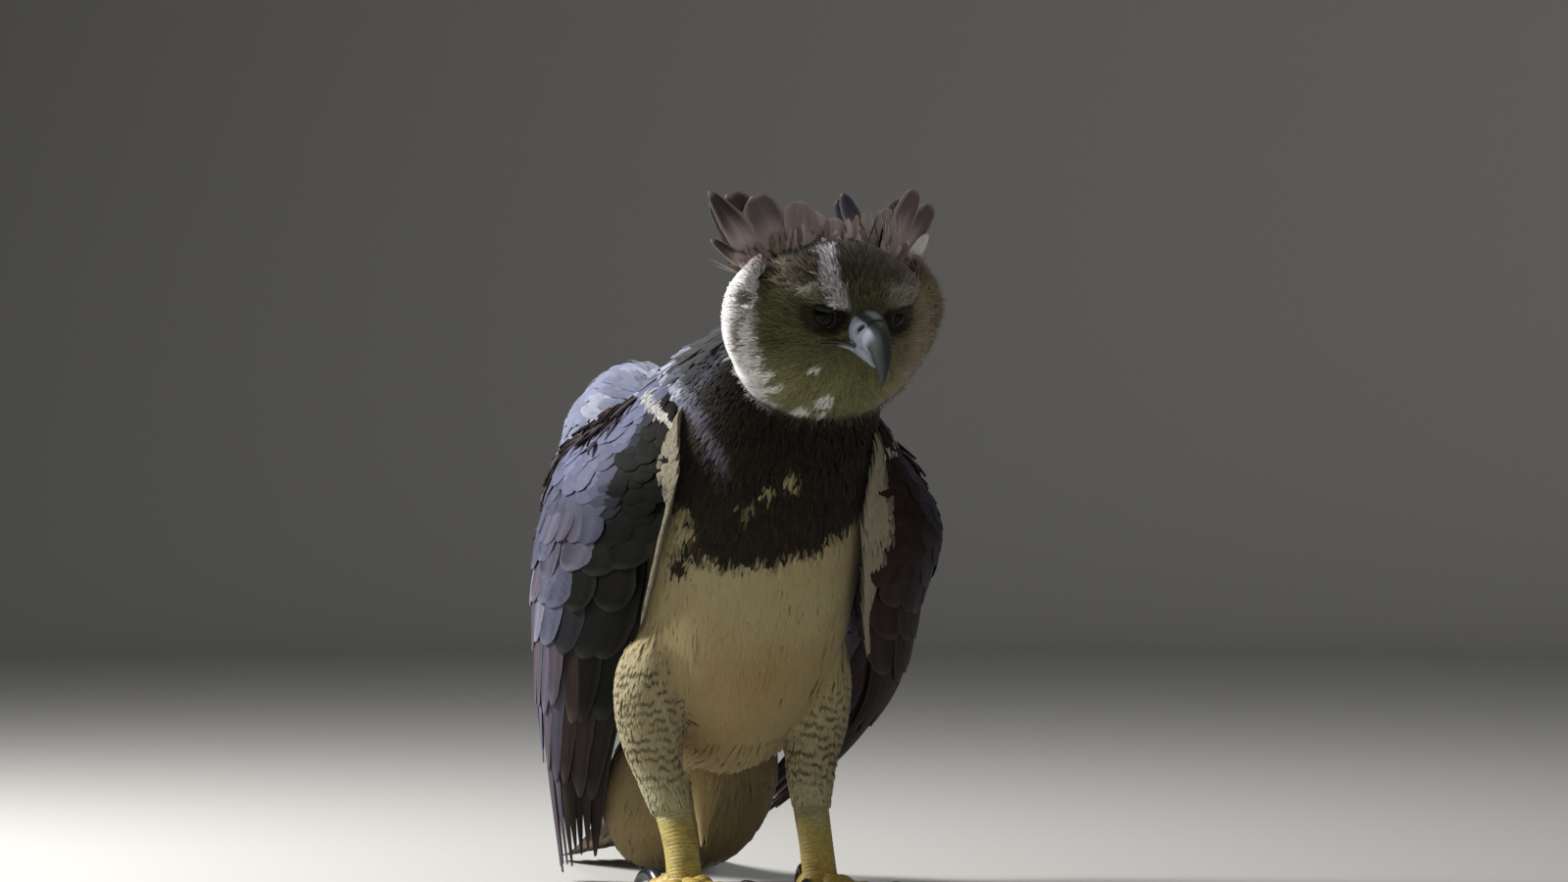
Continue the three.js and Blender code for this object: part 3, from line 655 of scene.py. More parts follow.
on_head = part_is(skin_part, "head", "ruff")[:, None]
calm = smoothed(skin_points, CREASE_ROUNDS)
filling = np.clip(dot(calm - skin_points, skin_normals), 0, CREASE_FILLING)
filling = smoothed(filling * ~on_head, 4)
skin_points = skin_points + skin_normals * filling
skin_mesh.vertices.foreach_set("co", ((skin_points + SHIFT) * MM).ravel())
skin_mesh.update()
skin_points, skin_normals = points_and_normals(skin_mesh)
print("creases filled by up to, in mm:", round(float(filling.max()), 1))
from_bill = unit(into_head(skin_points) - BILL_ROOT) @ HEAD_TURNED.T
skin_lie = smoothed(np.where(on_head, from_bill, body_map[:, 3:6]), LIE_SMOOTHING)
skin_lie = unit(skin_lie - skin_normals * dot(skin_lie, skin_normals))
skin_tree = tree_of(skin_points)
print("parts:", {name: int((skin_part == i).sum()) for i, name in enumerate(PARTS)})

# %% [markdown]
# The markings are one function of the place on the body: cream belly, blackish breast band with a
# ragged lower edge, slate back, barred thighs, a grey-buff face with pale brows and a white ruff.
# Some light is painted in as well: lilac streaks of light on the neck, pale highlights on the
# mantle, and on the head a sunlit forehead patch, flecks of light below the bill, the white of the
# ruff's lit side and shadow round the eyes.
# Skin and feathers both take their colours from it, so they never disagree. A sum of sine waves
# in chance directions mottles them.

# %% Colours of the trunk and legs
CREAM = np.array([0.37, 0.31, 0.165])
WARM_CREAM = np.array([0.3, 0.215, 0.09])
TAN_GREY = np.array([0.21, 0.165, 0.09])
BREAST = np.array([0.022, 0.018, 0.013])
MANTLE_WITH_SHEEN = np.array([0.175, 0.19, 0.275])
MANTLE_HIGHLIGHT = np.array([0.35, 0.37, 0.45])
NECK_LIGHT_LILAC = np.array([0.12, 0.11, 0.145])
DARK_SLATE = np.array([0.03, 0.03, 0.034])
PALE = np.array([0.5, 0.47, 0.41])
WHITE = np.array([0.88, 0.87, 0.86])
BAR = np.array([0.04, 0.034, 0.025])
ANKLE = np.array([0.4, 0.37, 0.22])
BELLY_MIDDLE = -28
BREAST_SPOTS = [(6, 368, 6, 1.0), (-12, 361, 5, 1.0), (-32, 346, 5, 0.45)]
NECK_LIGHT_STREAKS = [((-62, 431), 20, 1.0), ((-50, 393), 16, 0.8)]
BAR_STEP = 8.2
WAVES = unit(rng.normal(size=(3, 9))) * rng.uniform(0.7, 1.5, 9)
PHASES = rng.uniform(0, 2 * np.pi, 9)


def cloud(points, size):
    """A smooth field of chance between about -1 and 1, with blots of about the given size."""
    return np.sin(points @ WAVES * (4.4 / size) + PHASES).sum(-1) / 3.2


def mix(a, b, share):
    """Colour a turning to colour b by a share for each point."""
    return a + (b - a) * np.asarray(share)[..., None]


def ripple(x):
    """A smooth, irregular wave between about -1 and 1."""
    return (np.sin(x) + 0.6 * np.sin(1.7 * x + 1) + 0.4 * np.sin(2.9 * x + 2)) / 2


def spot(points, x, z, radius):
    """1 inside a ragged spot on the breast and 0 outside it."""
    far = np.hypot(points[:, 0] - x, (points[:, 2] - z) * 0.8) + 0.3 * radius * cloud(points, 7)
    return 1 - ease(0.7 * radius, 1.3 * radius, far)


def streak(points, place, half_length):
    """1 along a slanting streak of painted light on the right of the neck, at a place in x and z."""
    aside, up = points[:, 0] - place[0], points[:, 2] - place[1]
    off = np.abs(aside + 0.35 * up + 0.006 * up * up)
    return ease(7, 2, off) * ease(half_length + 6, half_length - 6, np.abs(up)) * (points[:, 1] < -30)


def breast_edge(x):
    """Height of the breast band's lower edge: lowest at its middle, with ragged teeth."""
    return 303 + 0.004 * (x - BELLY_MIDDLE) ** 2 + 5 * ripple(x / 5)


def mantle_colours(points):
    """Blue-grey, partly a painted sheen, with paler patches of painted highlight."""
    # Painted highlight: the paler patches are where light catches the mantle's sheen.
    light = ease(0.25, 0.9, cloud(points * [1, 1, 1.6], 30)) * 0.75
    return mix(MANTLE_WITH_SHEEN * (1 + 0.15 * cloud(points, 16))[:, None], MANTLE_HIGHLIGHT, light)


def trunk_colours(points, t, angle):
    """Colours of the trunk and neck: sin(angle) is -1 at the front and 1 at the back."""
    x, z = points[:, 0], points[:, 2]
    back = np.sin(angle)
    warm = 0.8 * ease(330, 130, z + 0.1 * np.abs(x)) + 0.28 * cloud(points, 50)
    colour = mix(mix(CREAM, WARM_CREAM, warm), BREAST, ease(-3, 3, z - breast_edge(x)))
    spots = np.max([share * spot(points, *place) for *place, share in BREAST_SPOTS], 0)
    colour = mix(colour, CREAM * 0.8, spots)
    colour = mix(colour, CREAM * 0.9, spot(points, -80, 331, 14))
    colour = mix(colour, BREAST, spot(points, -77, 303, 7))
    # Painted light: lilac streaks where light falls on the right side of the neck.
    lines = sum(share * streak(points, place, half) for place, half, share in NECK_LIGHT_STREAKS)
    colour = mix(colour, NECK_LIGHT_LILAC, np.clip(lines, 0, 1))
    shoulder = ease(0.62, 0.72, t)
    slate = ease(lerp(0.05, -0.22, shoulder), lerp(0.3, -0.1, shoulder), back)
    back_tone = mix(DARK_SLATE * 1.6 + 0 * points, mantle_colours(points), ease(0.45, 0.66, t))
    colour = mix(colour, back_tone, slate * ease(0.03, 0.1, t))
    return mix(colour, DARK_SLATE, ease(0.75, 0.8, t) * ease(-0.5, 0.0, back))


def thigh_colours(points):
    """White thighs with thin wavy black bars across them, broken into short dashes."""
    x, y, z = points.T
    wave = z + 0.12 * np.abs(x) + 2.8 * ripple(x / 7 + y / 9) + 1.7 * ripple(y / 3.3 - x / 2.7)
    bars = ease(0.15, 0.75, np.sin(2 * np.pi * wave / BAR_STEP))
    dashes = ease(-0.6, 0.05, ripple(x / 3.1 + y / 3.7 + 2.3 * np.floor(wave / BAR_STEP + 0.25)))
    strength = ease(214, 196, z) * ease(92, 110, z) * (0.88 + 0.12 * cloud(points, 20))
    ground = mix(mix(CREAM, PALE, 0.1) * 0.92, ANKLE, ease(124, 96, z))
    return mix(ground, BAR, bars * dashes * strength * 0.95)


def vent_colours(points):
    """Tan-grey feathers round the vent, and cream ones that hang down between the legs."""
    front = ease(120, 60, points[:, 1])
    return mix(TAN_GREY, WARM_CREAM, np.clip(0.25 + 0.25 * cloud(points, 30) + front, 0, 1))


# %% [markdown]
# The head has its own function, in the head's frame. A fine streak runs outwards from the bill
# all over the face.

# %% Colours of the head
FACE = np.array([0.115, 0.11, 0.055])
LOW_FACE = np.array([0.2, 0.2, 0.085])
BUFF = np.array([0.28, 0.235, 0.16])
CROWN = np.array([0.085, 0.07, 0.05])
EYE_PAINTED_SHADOW = np.array([0.018, 0.015, 0.009])
SALMON = np.array([0.33, 0.235, 0.2])
STREAK = np.array([0.28, 0.22, 0.17])
LIGHT_FLECKS = [(-31, -20, 5), (-12, -49, 7), (-24, -60, 9), (-6, -60, 5)]


def head_colours(points):
    """Colours of the head, its brows and the rim of the facial disc."""
    local = into_head(points)
    left, back, up = local.T
    forward = -back
    turn = np.arctan2(up - BILL_ROOT[2], left)
    streaks = 1 + 0.16 * ripple(turn * 29 + 2 * cloud(local, 25)) + 0.1 * cloud(local, 9)
    colour = mix(FACE, LOW_FACE, ease(6, -40, up))
    colour = mix(colour, BUFF, ease(26, 66, left) * 0.85)
    colour = mix(colour, PALE * 0.9, ease(40, 5, forward) * ease(10, -50, up) * 0.45)
    crown = ease(34, 50, up) * ease(50, 34, forward)
    colour = mix(colour, CROWN, crown * (0.85 + 0.15 * cloud(local, 14)))
    # Partly painted light: pale grey feathers on the right of the forehead, painted white as a sunlit
    # patch.
    middle = -24 - 2 * ease(34, 52, up) + 6 * ease(56, 76, up)
    patch = ease(12, 4.5, np.abs(left - middle + 3 * cloud(local, 9))) * ease(30, 38, up)
    patch = patch * ease(4, 20, forward) * (0.8 + 0.2 * ripple(1.5 * left + 3 * cloud(local, 9)))
    colour = mix(colour, WHITE * [1.0, 0.97, 1.1], patch)
    side = np.abs(left)
    brow = ease(12, 26, side) * ease(62, 44, side) * ease(36, 40, up) * ease(54, 46, up)
    colour = mix(colour, PALE * 0.7, brow * ease(18, 30, forward) * np.where(left > 0, 0.55, 0.35))
    # Painted shadow: the dark round each eye, where the overhanging brow shades it.
    far = np.hypot((side - 31) / 1.4, np.where(up > 26, (up - 26) * 1.1, (up - 26) / 1.1))
    colour = mix(colour, EYE_PAINTED_SHADOW, ease(16, 10, far) * ease(20, 34, forward) * ease(39, 34, up))
    chin = ease(-54, -70, up + 3 * cloud(local, 12)) * ease(-46, -24, back)
    colour = mix(colour, BREAST * 2.2, chin * 0.85)
    # Painted light: pale flecks of light on the face below the bill.
    for x, z, radius in LIGHT_FLECKS:
        light_fleck = ease(radius, 0.4 * radius, np.hypot(left - x, up - z) + 3 * cloud(local, 6))
        colour = mix(colour, WHITE, light_fleck * 0.8 * (forward > 0))
    # Partly painted light: the ruff is pale, and its lit side, the bird's right, is painted white.
    outward = 0.875 * side + 0.45 * back - 0.18 * up
    ragged = outward + 2.5 * cloud(local, 8) + 4 * ripple(turn * 34) * ease(10, -20, up)
    height = ease(62, 46, up) * ease(-74, -60, up)
    inside = ragged - lerp(56, 38, ease(10, -36, up))
    gaps = ease(0.35, -0.25, ripple(turn * 38 + 3 * cloud(local, 12)))
    rim = ease(-4, 4, inside) * height * (1 - gaps * ease(18, 4, inside) * ease(10, -20, up))
    colour = mix(colour, WHITE, rim * (left < 0) * (1 - 0.2 * cloud(local, 5) * (up < -4)))
    line = np.abs(ragged - 68.5 + 0.05 * up) + 0.8 * np.maximum(np.abs(up - 8) - 20, 0)
    colour = mix(colour, STREAK * 0.7, ease(5, 2, line) * (left < 0) * 0.85)
    colour = mix(colour, BUFF * [1.2, 1.15, 1.1], ease(46, 62, left) * ease(60, 40, up) * 0.7)
    corner = ease(40, 56, up) * ease(50, 64, side) * ease(-30, 0, forward)
    colour = mix(colour, SALMON, corner * 0.6)
    colour = mix(colour, DARK_SLATE * 1.3, ease(-16, -34, forward))
    return colour * streaks[:, None]


def markings(points, part, t, angle):
    """Linear colours of points in the bird's frame, by the part that they are on."""
    colour = trunk_colours(points, t, angle)
    for names, values in (
        (("thigh",), thigh_colours(points)), (("vent",), vent_colours(points)),
        (("head", "ruff"), head_colours(points)), (("mound",), mantle_colours(points)),
        (("wing",), DARK_SLATE + 0 * points),
        (("rump",), mix(vent_colours(points), DARK_SLATE, ease(100, 140, points[:, 1]))),
    ):
        colour = np.where(part_is(part, *names)[:, None], values, colour)
    return np.clip(colour, 0.002, 0.9)


skin_colours = markings(skin_points, skin_part, skin_t, skin_angle)
print("mean colour of the skin:", np.round(skin_colours.mean(0), 3))

# %% [markdown]
# All plumage shares one recipe of material. The colour comes from the mesh. The barbs, the fine
# parallel threads of a feather, are a noise stretched along lines of the feather's own UV map, in
# which u runs across the vane and v along it. They lighten and darken the colour a little and
# raise the bump. A soft sheen gives the bloom that plumage has at its edges.

# %% Plumage material


def node_of(tree, kind, entries, **settings):
    """A node; each entry is a number, a colour or another node's output."""
    node = tree.nodes.new("ShaderNode" + kind)
    for name, value in settings.items():
        setattr(node, name, value)
    for name, value in entries.items():
        if isinstance(value, bpy.types.NodeSocket):
            tree.links.new(value, node.inputs[name])
        else:
            node.inputs[name].default_value = value
    return node


def maths(tree, operation, first, second=0.0):
    """The output of a Math node whose entries are numbers or outputs."""
    return node_of(tree, "Math", {0: first, 1: second}, operation=operation).outputs[0]


def new_material(name, roughness, sheen=0.0, specular=0.5):
    """A material with its tree and its shader."""
    material = bpy.data.materials.new(name)
    material.use_nodes = True
    tree = material.node_tree
    shader = tree.nodes["Principled BSDF"]
    for entry, value in {"Roughness": roughness, "Sheen Weight": sheen, "Sheen Roughness": 0.4,
                         "Specular IOR Level": specular}.items():
        shader.inputs[entry].default_value = value
    return material, tree, shader


def uv_parts(tree, name):
    """The two outputs u and v of a UV map."""
    uv = node_of(tree, "UVMap", {}, uv_map=name)
    split = node_of(tree, "SeparateXYZ", {0: uv.outputs[0]})
    return split.outputs[0], split.outputs[1]


def noise_of(tree, entry, scale, detail):
    """The output of a noise node."""
    entries = {"Vector": entry, "Scale": scale, "Detail": detail, "Roughness": 0.6}
    return node_of(tree, "TexNoise", entries).outputs[0]


def shaded(tree, shader, pattern, low, high, bump, strength=0.6):
    """The Plumage colour times a pattern that runs from low to high, with the pattern as bump."""
    colour = node_of(tree, "VertexColor", {}, layer_name="Plumage")
    shade = node_of(tree, "MapRange", {"Value": pattern, "From Min": 0.3, "From Max": 0.7,
                                       "To Min": low, "To Max": high})
    tint = node_of(tree, "Mix", {"Factor": 1.0, "A": colour.outputs["Color"],
                                 "B": shade.outputs["Result"]}, data_type="RGBA", blend_type="MULTIPLY")
    tree.links.new(tint.outputs["Result"], shader.inputs["Base Color"])
    relief = node_of(tree, "Bump", {"Strength": strength, "Distance": bump, "Height": pattern})
    tree.links.new(relief.outputs["Normal"], shader.inputs["Normal"])


def plumage_material(name, across, along, slant, depth, roughness, sheen, specular):
    """across and along are how often the barbs change that way, depth how much they darken."""
    material, tree, shader = new_material(name, roughness, sheen, specular)
    u, v = uv_parts(tree, "Vane")
    off = maths(tree, "ABSOLUTE", maths(tree, "SUBTRACT", u, 0.5))
    place = maths(tree, "SUBTRACT", v, maths(tree, "MULTIPLY", off, slant))
    barbs = node_of(tree, "CombineXYZ", {0: maths(tree, "MULTIPLY", place, along),
                                         1: maths(tree, "MULTIPLY", u, across)})
    pattern = noise_of(tree, barbs.outputs[0], 1.0, 3.0)
    shaded(tree, shader, pattern, 1 - depth, 1 + depth, 0.0003)
    return material


soft_plumage = plumage_material("soft_plumage", 7.0, 2.0, 0.0, 0.16, 0.8, 0.2, 0.12)
glossy_plumage = plumage_material("glossy_plumage", 2.5, 70.0, 0.45, 0.22, 0.6, 0.0, 0.04)
print("materials:", [m.name for m in bpy.data.materials])

# %% [markdown]
# Now the skin itself becomes a piece. Under the feathers it is seldom seen, but it closes the
# gaps between them, so it carries the same colours, a little darker as painted shade in those
# gaps. A Decimate modifier takes triangles out where it is flat.

# %% Skin
SKIN_KEPT = 0.42
# Painted shade: the skin is a quarter darker than the feathers, for the shade in the gaps between them.
give_colour(skin_mesh, skin_colours * 0.75)
give_uv(skin_mesh, "Vane", skin_uv * 40)
give_uv(skin_mesh, "OFBake", skin_uv)
helper = placed("skin", skin_mesh)
helper.modifiers.new("thin", "DECIMATE").ratio = SKIN_KEPT
FLESH = ["torso", "neck", "head", "thigh_left", "thigh_right"]
piece_of(applied(helper, "skin"), soft_plumage, FLESH)

# %% [markdown]
# A small feather is a thin leaf, closed on all sides: rings of three points, one at each edge and
# one on its crown, that end in a single point. Its middle line leaves the skin at the root and
# bends to meet the skin again at the tip, so that even a long feather follows the curve of the
# body. Thousands are worked out together as one array.

# %% Small feathers
HAIR = (np.array([0, 0.4, 0.75, 1]), np.array([0.55, 1, 0.7]))
LEAF = (np.array([0, 0.3, 0.62, 0.86, 1]), np.array([0.35, 0.95, 1, 0.72]))
BROAD = (np.array([0, 0.25, 0.5, 0.75, 0.93, 1]), np.array([0.35, 0.88, 1, 0.92, 0.6]))
BARRED = (np.array([0, 0.2, 0.4, 0.6, 0.8, 1]), np.array([0.5, 0.9, 1, 0.9, 0.6]))
OFBAKE_PATCH = 0.003


def leaf_faces(count, rings):
    """The quads and triangles of count leaves with a number of rings before the tip."""
    corner = np.arange(3)
    after = (corner + 1) % 3
    row = np.arange(rings - 1)[:, None] * 3
    quads = np.stack([row + corner, row + after, row + 3 + after, row + 3 + corner], -1)
    last, tip = (rings - 1) * 3, rings * 3
    triangles = np.vstack([np.stack([last + corner, last + after, tip + 0 * corner], -1), [[2, 1, 0]]])
    first = np.arange(count)[:, None, None] * (tip + 1)
    return (quads.reshape(1, -1, 4) + first).reshape(-1, 4), (triangles[None] + first).reshape(-1, 3)


def leaf_piece(name, leaves, shape, material):
    """One piece of small feathers.

    leaves holds spine, up and side (N, rings, 3), half-width, uv, colour (N, 3) or (N, points, 3),
    and how far the edges bend down. Each feather has a small patch of the flat map at its root.
    """
    v, widths = shape
    count, rings = len(leaves["spine"]), len(v) - 1
    half = (leaves["half"][:, None] * widths)[..., None]
    spine, up, side = (leaves[key][:, :rings] for key in ("spine", "up", "side"))
    droop = up * leaves["bend"][:, None, None] * half
    ring = np.stack([spine - side * half - droop, spine + up * 0.3, spine + side * half - droop], 2)
    tips = leaves["spine"][:, -1:]
    points = np.concatenate([ring.reshape(count, -1, 3), tips], 1)
    u = np.append(np.tile([0.0, 0.5, 1.0], rings), 0.5)
    along = np.append(np.repeat(v[:-1], 3), 1.0)
    local = np.stack([u, along], -1)[None]
    seed = np.round(rng.uniform(0, 60, (count, 1, 1))) * [0, 1]
    flat_map = leaves["uv"][:, None] + OFBAKE_PATCH * (local - 0.5)
    colour = leaves["colour"]
    if colour.ndim == 2:
        # Painted shade: each feather is darker at its root, where the next one covers it, and along its
        # edges; relief sets how much.
        shade = 1 + leaves.get("relief", 1.0) * (0.24 * along - 0.16 - 0.1 * (u != 0.5))
        fade = leaves.get("fade", np.zeros(count))[:, None] * along ** 2
        colour = colour[:, None] * (shade * (1 - fade))[..., None]
    quads, triangles = leaf_faces(count, rings)
    mesh = mesh_of(name, points.reshape(-1, 3), quads, triangles)
    give_colour(mesh, colour.reshape(-1, 3))
    give_uv(mesh, "Vane", (local + seed).reshape(-1, 2))
    give_uv(mesh, "OFBake", flat_map.reshape(-1, 2))
    tilt = side * 0.3 * leaves.get("relief", 1.0)
    soft = np.stack([up - tilt, up, up + tilt], 2).reshape(count, -1, 3)
    soft = np.concatenate([soft, leaves["up"][:, -1:]], 1)
    mesh.normals_split_custom_set_from_vertices(unit(soft).reshape(-1, 3).astype(np.float32))
    return piece_of(mesh, material)


def roots_where(density):
    """Roots on the skin: density is how many there are at each of its points, on average."""
    number = np.floor(density + rng.random(len(density))).astype(int)
    index = np.repeat(np.arange(len(density)), number)
    shift = rng.uniform(-0.6, 0.6, (len(index), 3)) * SKIN_VOXEL
    normal = skin_normals[index]
    place = skin_points[index] + shift - normal * dot(shift, normal)
    part, t, angle = skin_part[index], skin_t[index], skin_angle[index]
    return {"place": place, "normal": normal, "lie": skin_lie[index], "uv": skin_uv[index],
            "part": part, "t": t, "angle": angle, "colour": markings(place, part, t, angle)}


def lying(roots, v, length, half, middle, tip, twist=0.14, bend=0.2, wild=0.12):
    """Leaves that leave the skin at their roots, follow it and end one length further on.

    middle and tip are their heights above the skin; twist, wild and bend set how far they turn
    off the lie, vary in length and bend down at their edges.
    """
    count = len(roots["t"])
    length = (length * rng.normal(1, wild, count).clip(0.65, 1.4))[:, None]
    turn = rng.normal(0, twist, count)[:, None]
    normal, lie = roots["normal"], roots["lie"]
    lie = unit(lie * np.cos(turn) + np.cross(lie, normal) * np.sin(turn))
    goal = roots["place"] + lie * length
    near = nearest(skin_tree, goal)
    end_normal, end_lie = skin_normals[near], skin_lie[near]
    goal = goal - end_normal * dot(goal - skin_points[near], end_normal)
    end_lie = unit(end_lie * np.cos(turn) + np.cross(end_lie, end_normal) * np.sin(turn))
    share = v[None, :, None]
    a, b, c = share ** 2 * (3 - 2 * share), share * (1 - share) ** 2, share ** 2 * (share - 1)
    spine = roots["place"][:, None] * (1 - a) + goal[:, None] * a
    spine = spine + (lie * length)[:, None] * b + (end_lie * length)[:, None] * c
    up = unit(normal[:, None] * (1 - share) + end_normal[:, None] * share)
    side = unit(np.cross(unit(np.gradient(spine, axis=1)), up))
    fluff = 1 + 0.3 * cloud(roots["place"], 26)
    middle = (middle * fluff * rng.normal(1, 0.18, count))[:, None]
    tip = (tip * fluff * rng.normal(1, 0.2, count))[:, None]
    height = -1.2 * (1 - v) * (1 - 2 * v) + 4 * middle * v * (1 - v) + tip * v * (2 * v - 1)
    return {"spine": spine + up * height[..., None], "up": up, "side": side, "uv": roots["uv"],
            "half": half * rng.normal(1, 0.15, count), "bend": rng.normal(bend, 0.08, count),
            "colour": roots["colour"]}


def varied(colour, spread):
    """Each feather a little lighter or darker than the next."""
    return colour * rng.normal(1, spread, (len(colour), 1)).clip(0.6, 1.6)


def picked(values, chosen):
    """The rows of each array where chosen is true."""
    return {key: value[chosen] for key, value in values.items()}


# %% [markdown]
# The breast and belly look almost like fur: narrow feathers that lie close. The ones of the
# breast band are broader. Those of the back and the shoulder mounds are true broad feathers. Each
# keeps its own small share of chance in length, twist and colour, because plumage that is too
# even looks like tiles.

# %% Coat of the body
BACK_STARTS = 0.25
skin_back = np.sin(skin_angle)
is_trunk = part_is(skin_part, "trunk")
dark_breast = skin_points[:, 2] > breast_edge(skin_points[:, 0]) - 2


def coat(name, density, length, half, middle, tip, twist, spread, shape=LEAF, relief=1.0):
    """A piece of small feathers on the body; density counts the roots at each point of skin.

    length, half, middle and tip are numbers or functions of the roots, and relief is how plainly
    each feather stands out from the next, by painted shade at its root and edges and by its tilt.
    """
    roots = roots_where(density)
    roots["colour"] = varied(roots["colour"], spread)
    sizes = (value(roots) if callable(value) else value for value in (length, half, middle, tip))
    leaves = lying(roots, shape[0], *sizes, twist)
    leaves["relief"] = relief
    leaf_piece(name, leaves, shape, soft_plumage)


is_belly = is_trunk & (skin_back < BACK_STARTS) & ~dark_breast
for name, side in SIDES.items():
    half_belly = is_belly & ((skin_points[:, 0] - BELLY_MIDDLE) * side > 0)
    coat(f"belly_coat_{name}", 0.46 * half_belly, 25.0, 1.6, 1.4, 1.5, 0.12, 0.015, LEAF, 0.25)
coat("breast_coat", 0.62 * (is_trunk & (skin_back < BACK_STARTS) & dark_breast),
     lambda roots: lerp(20, 13, ease(0.6, 0.85, roots["t"])),
     lambda roots: lerp(1.7, 1.1, ease(0.6, 0.85, roots["t"])), 2.0, 2.8, 0.17, 0.2)
on_tuft = (skin_points[:, 1] < 90) & (skin_points[:, 2] < 145)
coat("vent_coat", 0.21 * (part_is(skin_part, "vent", "rump") & ~on_tuft), 34.0, 2.2, 2.0, 2.4, 0.14,
     0.04, LEAF, 0.4)
coat("back_coat", 0.14 * (is_trunk & (skin_back >= BACK_STARTS)), 32.0, 4.6, 3.2, 4.8, 0.2, 0.13, BROAD)
shoulder = is_trunk & (skin_back > -0.2) & (skin_t > 0.66) & (skin_t < 0.79)
mantle = part_is(skin_part, "mound") | (shoulder & (skin_points[:, 2] > 432))
coat("mantle_coat", 0.19 * mantle, 30.0, lambda roots: lerp(4.6, 2.6, part_is(roots["part"], "trunk")),
     *[lambda roots: lerp(4.8, 2.0, part_is(roots["part"], "trunk"))] * 2, 0.18, 0.08, BROAD, 0.4)

# %% [markdown]
# Long cream feathers of the flank hang over the top of each thigh, and others hang from the end
# of the belly, so that neither ends in a hard edge.

# %% Flanks and end of the belly
flank = is_belly & (np.abs(skin_points[:, 2] - 236) < 28) & (np.abs(skin_points[:, 0] + 4) > 58)
coat("flank_coat", 0.5 * flank, 42.0, 1.6, 2.6, 1.6, 0.08, 0.015, LEAF, 0.25)
belly_end = is_trunk & (skin_back < -0.3) & (skin_points[:, 2] < 142)
coat("belly_end_coat", 0.55 * belly_end,
     lambda roots: lerp(44, 13, ease(6, 46, np.abs(roots["place"][:, 0] + 16))),
     1.7, 4.0, 5.0, 0.14, 0.03, LEAF, 0.4)

# %% [markdown]
# The loose tuft between the legs is a slim tube, too thin to look up the lie on. Its feathers run
# straight down the tube's own surface and past its end, like the hairs of a brush.

# %% Tuft between the legs
TUFT_LEAVES = 520
tuft = tube(TUFT_LINE, TUFT_SIZE)
tuft_t = rng.uniform(0.08, 0.86, (TUFT_LEAVES, 1)) + 0.3 * LEAF[0]
tuft_turn = rng.uniform(0, 2 * np.pi, (TUFT_LEAVES, 1)) + rng.normal(0, 0.12, (TUFT_LEAVES, 1)) * LEAF[0]
inner, outer = (tuft(np.clip(tuft_t, 0, 0.99), tuft_turn, grow) for grow in (0.0, 2.0))
tuft_spine = inner + unit(outer - inner) * (1.6 * np.sin(np.pi * LEAF[0]) - 0.3)[None, :, None]
tuft_spine = tuft_spine - np.array([0, 0, 100]) * np.maximum(tuft_t - 0.99, 0)[..., None]
tuft_side = unit(np.cross(unit(np.gradient(tuft_spine, axis=1)), unit(outer - inner)))
leaf_piece("tuft_coat", {
    "spine": tuft_spine, "up": unit(outer - inner), "side": tuft_side, "relief": 0.6,
    "half": rng.uniform(0.9, 1.6, TUFT_LEAVES), "bend": np.full(TUFT_LEAVES, 0.2),
    "colour": varied(mix(WARM_CREAM, CREAM, 0.4) + 0 * tuft_spine[:, 0], 0.08),
    "uv": skin_uv[nearest(skin_tree, tuft_spine[:, 0])],
}, LEAF, soft_plumage)

# %% [markdown]
# The face has the finest plumage of all: hair-like feathers that fan out from the bill to the rim
# of the facial disc, shortest round the bill and eyes. No feather may cross an eye, so those that
# would come near the line of sight are left out. The ruff on the rim is longer and looser.

# %% Coat of the head
GAZE = {side: unit(np.array([SIDES[side] * 0.62, -0.78, 0.05])) for side in SIDES}
EYE_CLEARANCE = 10.6


def eye_middle(name):
    """The middle of one eye in the head's frame."""
    return in_head(SIDES[name] * EYE_PLACE[0], *EYE_PLACE[1:])


def clear_of_eyes(spine):
    """True for each middle line that stays off both eyes and the bill."""
    local = into_head(spine)
    clear = np.ones(len(spine), bool)
    for name in SIDES:
        off = local - eye_middle(name)
        ahead = dot(off, GAZE[name])
        aside = np.linalg.norm(off - ahead * GAZE[name], axis=-1)
        clear &= ~((ahead[..., 0] > 0) & (aside < EYE_CLEARANCE)).any(1)
    left, back, up = np.moveaxis(local, -1, 0)
    bill = (np.hypot(left / 13, (up - 13) / 15) < 1) & (back < -44)
    return clear & ~bill.any(1)


def head_coat(name, density, length, half, middle, tip, twist, shape=HAIR, spread=0.1):
    """A piece of fine feathers on the head; length, and tip too, may depend on a root's place."""
    roots = roots_where(density)
    roots["colour"] = varied(roots["colour"], spread)
    local = into_head(roots["place"])
    tip = tip(local) if callable(tip) else tip
    leaves = lying(roots, shape[0], length(local), half, middle, tip, twist)
    leaves["fade"] = 0.8 * ease(-34, -56, local[:, 2]) * ease(-30, -6, local[:, 1])
    leaves = picked(leaves, clear_of_eyes(leaves["spine"]))
    leaf_piece(name, leaves, shape, soft_plumage)


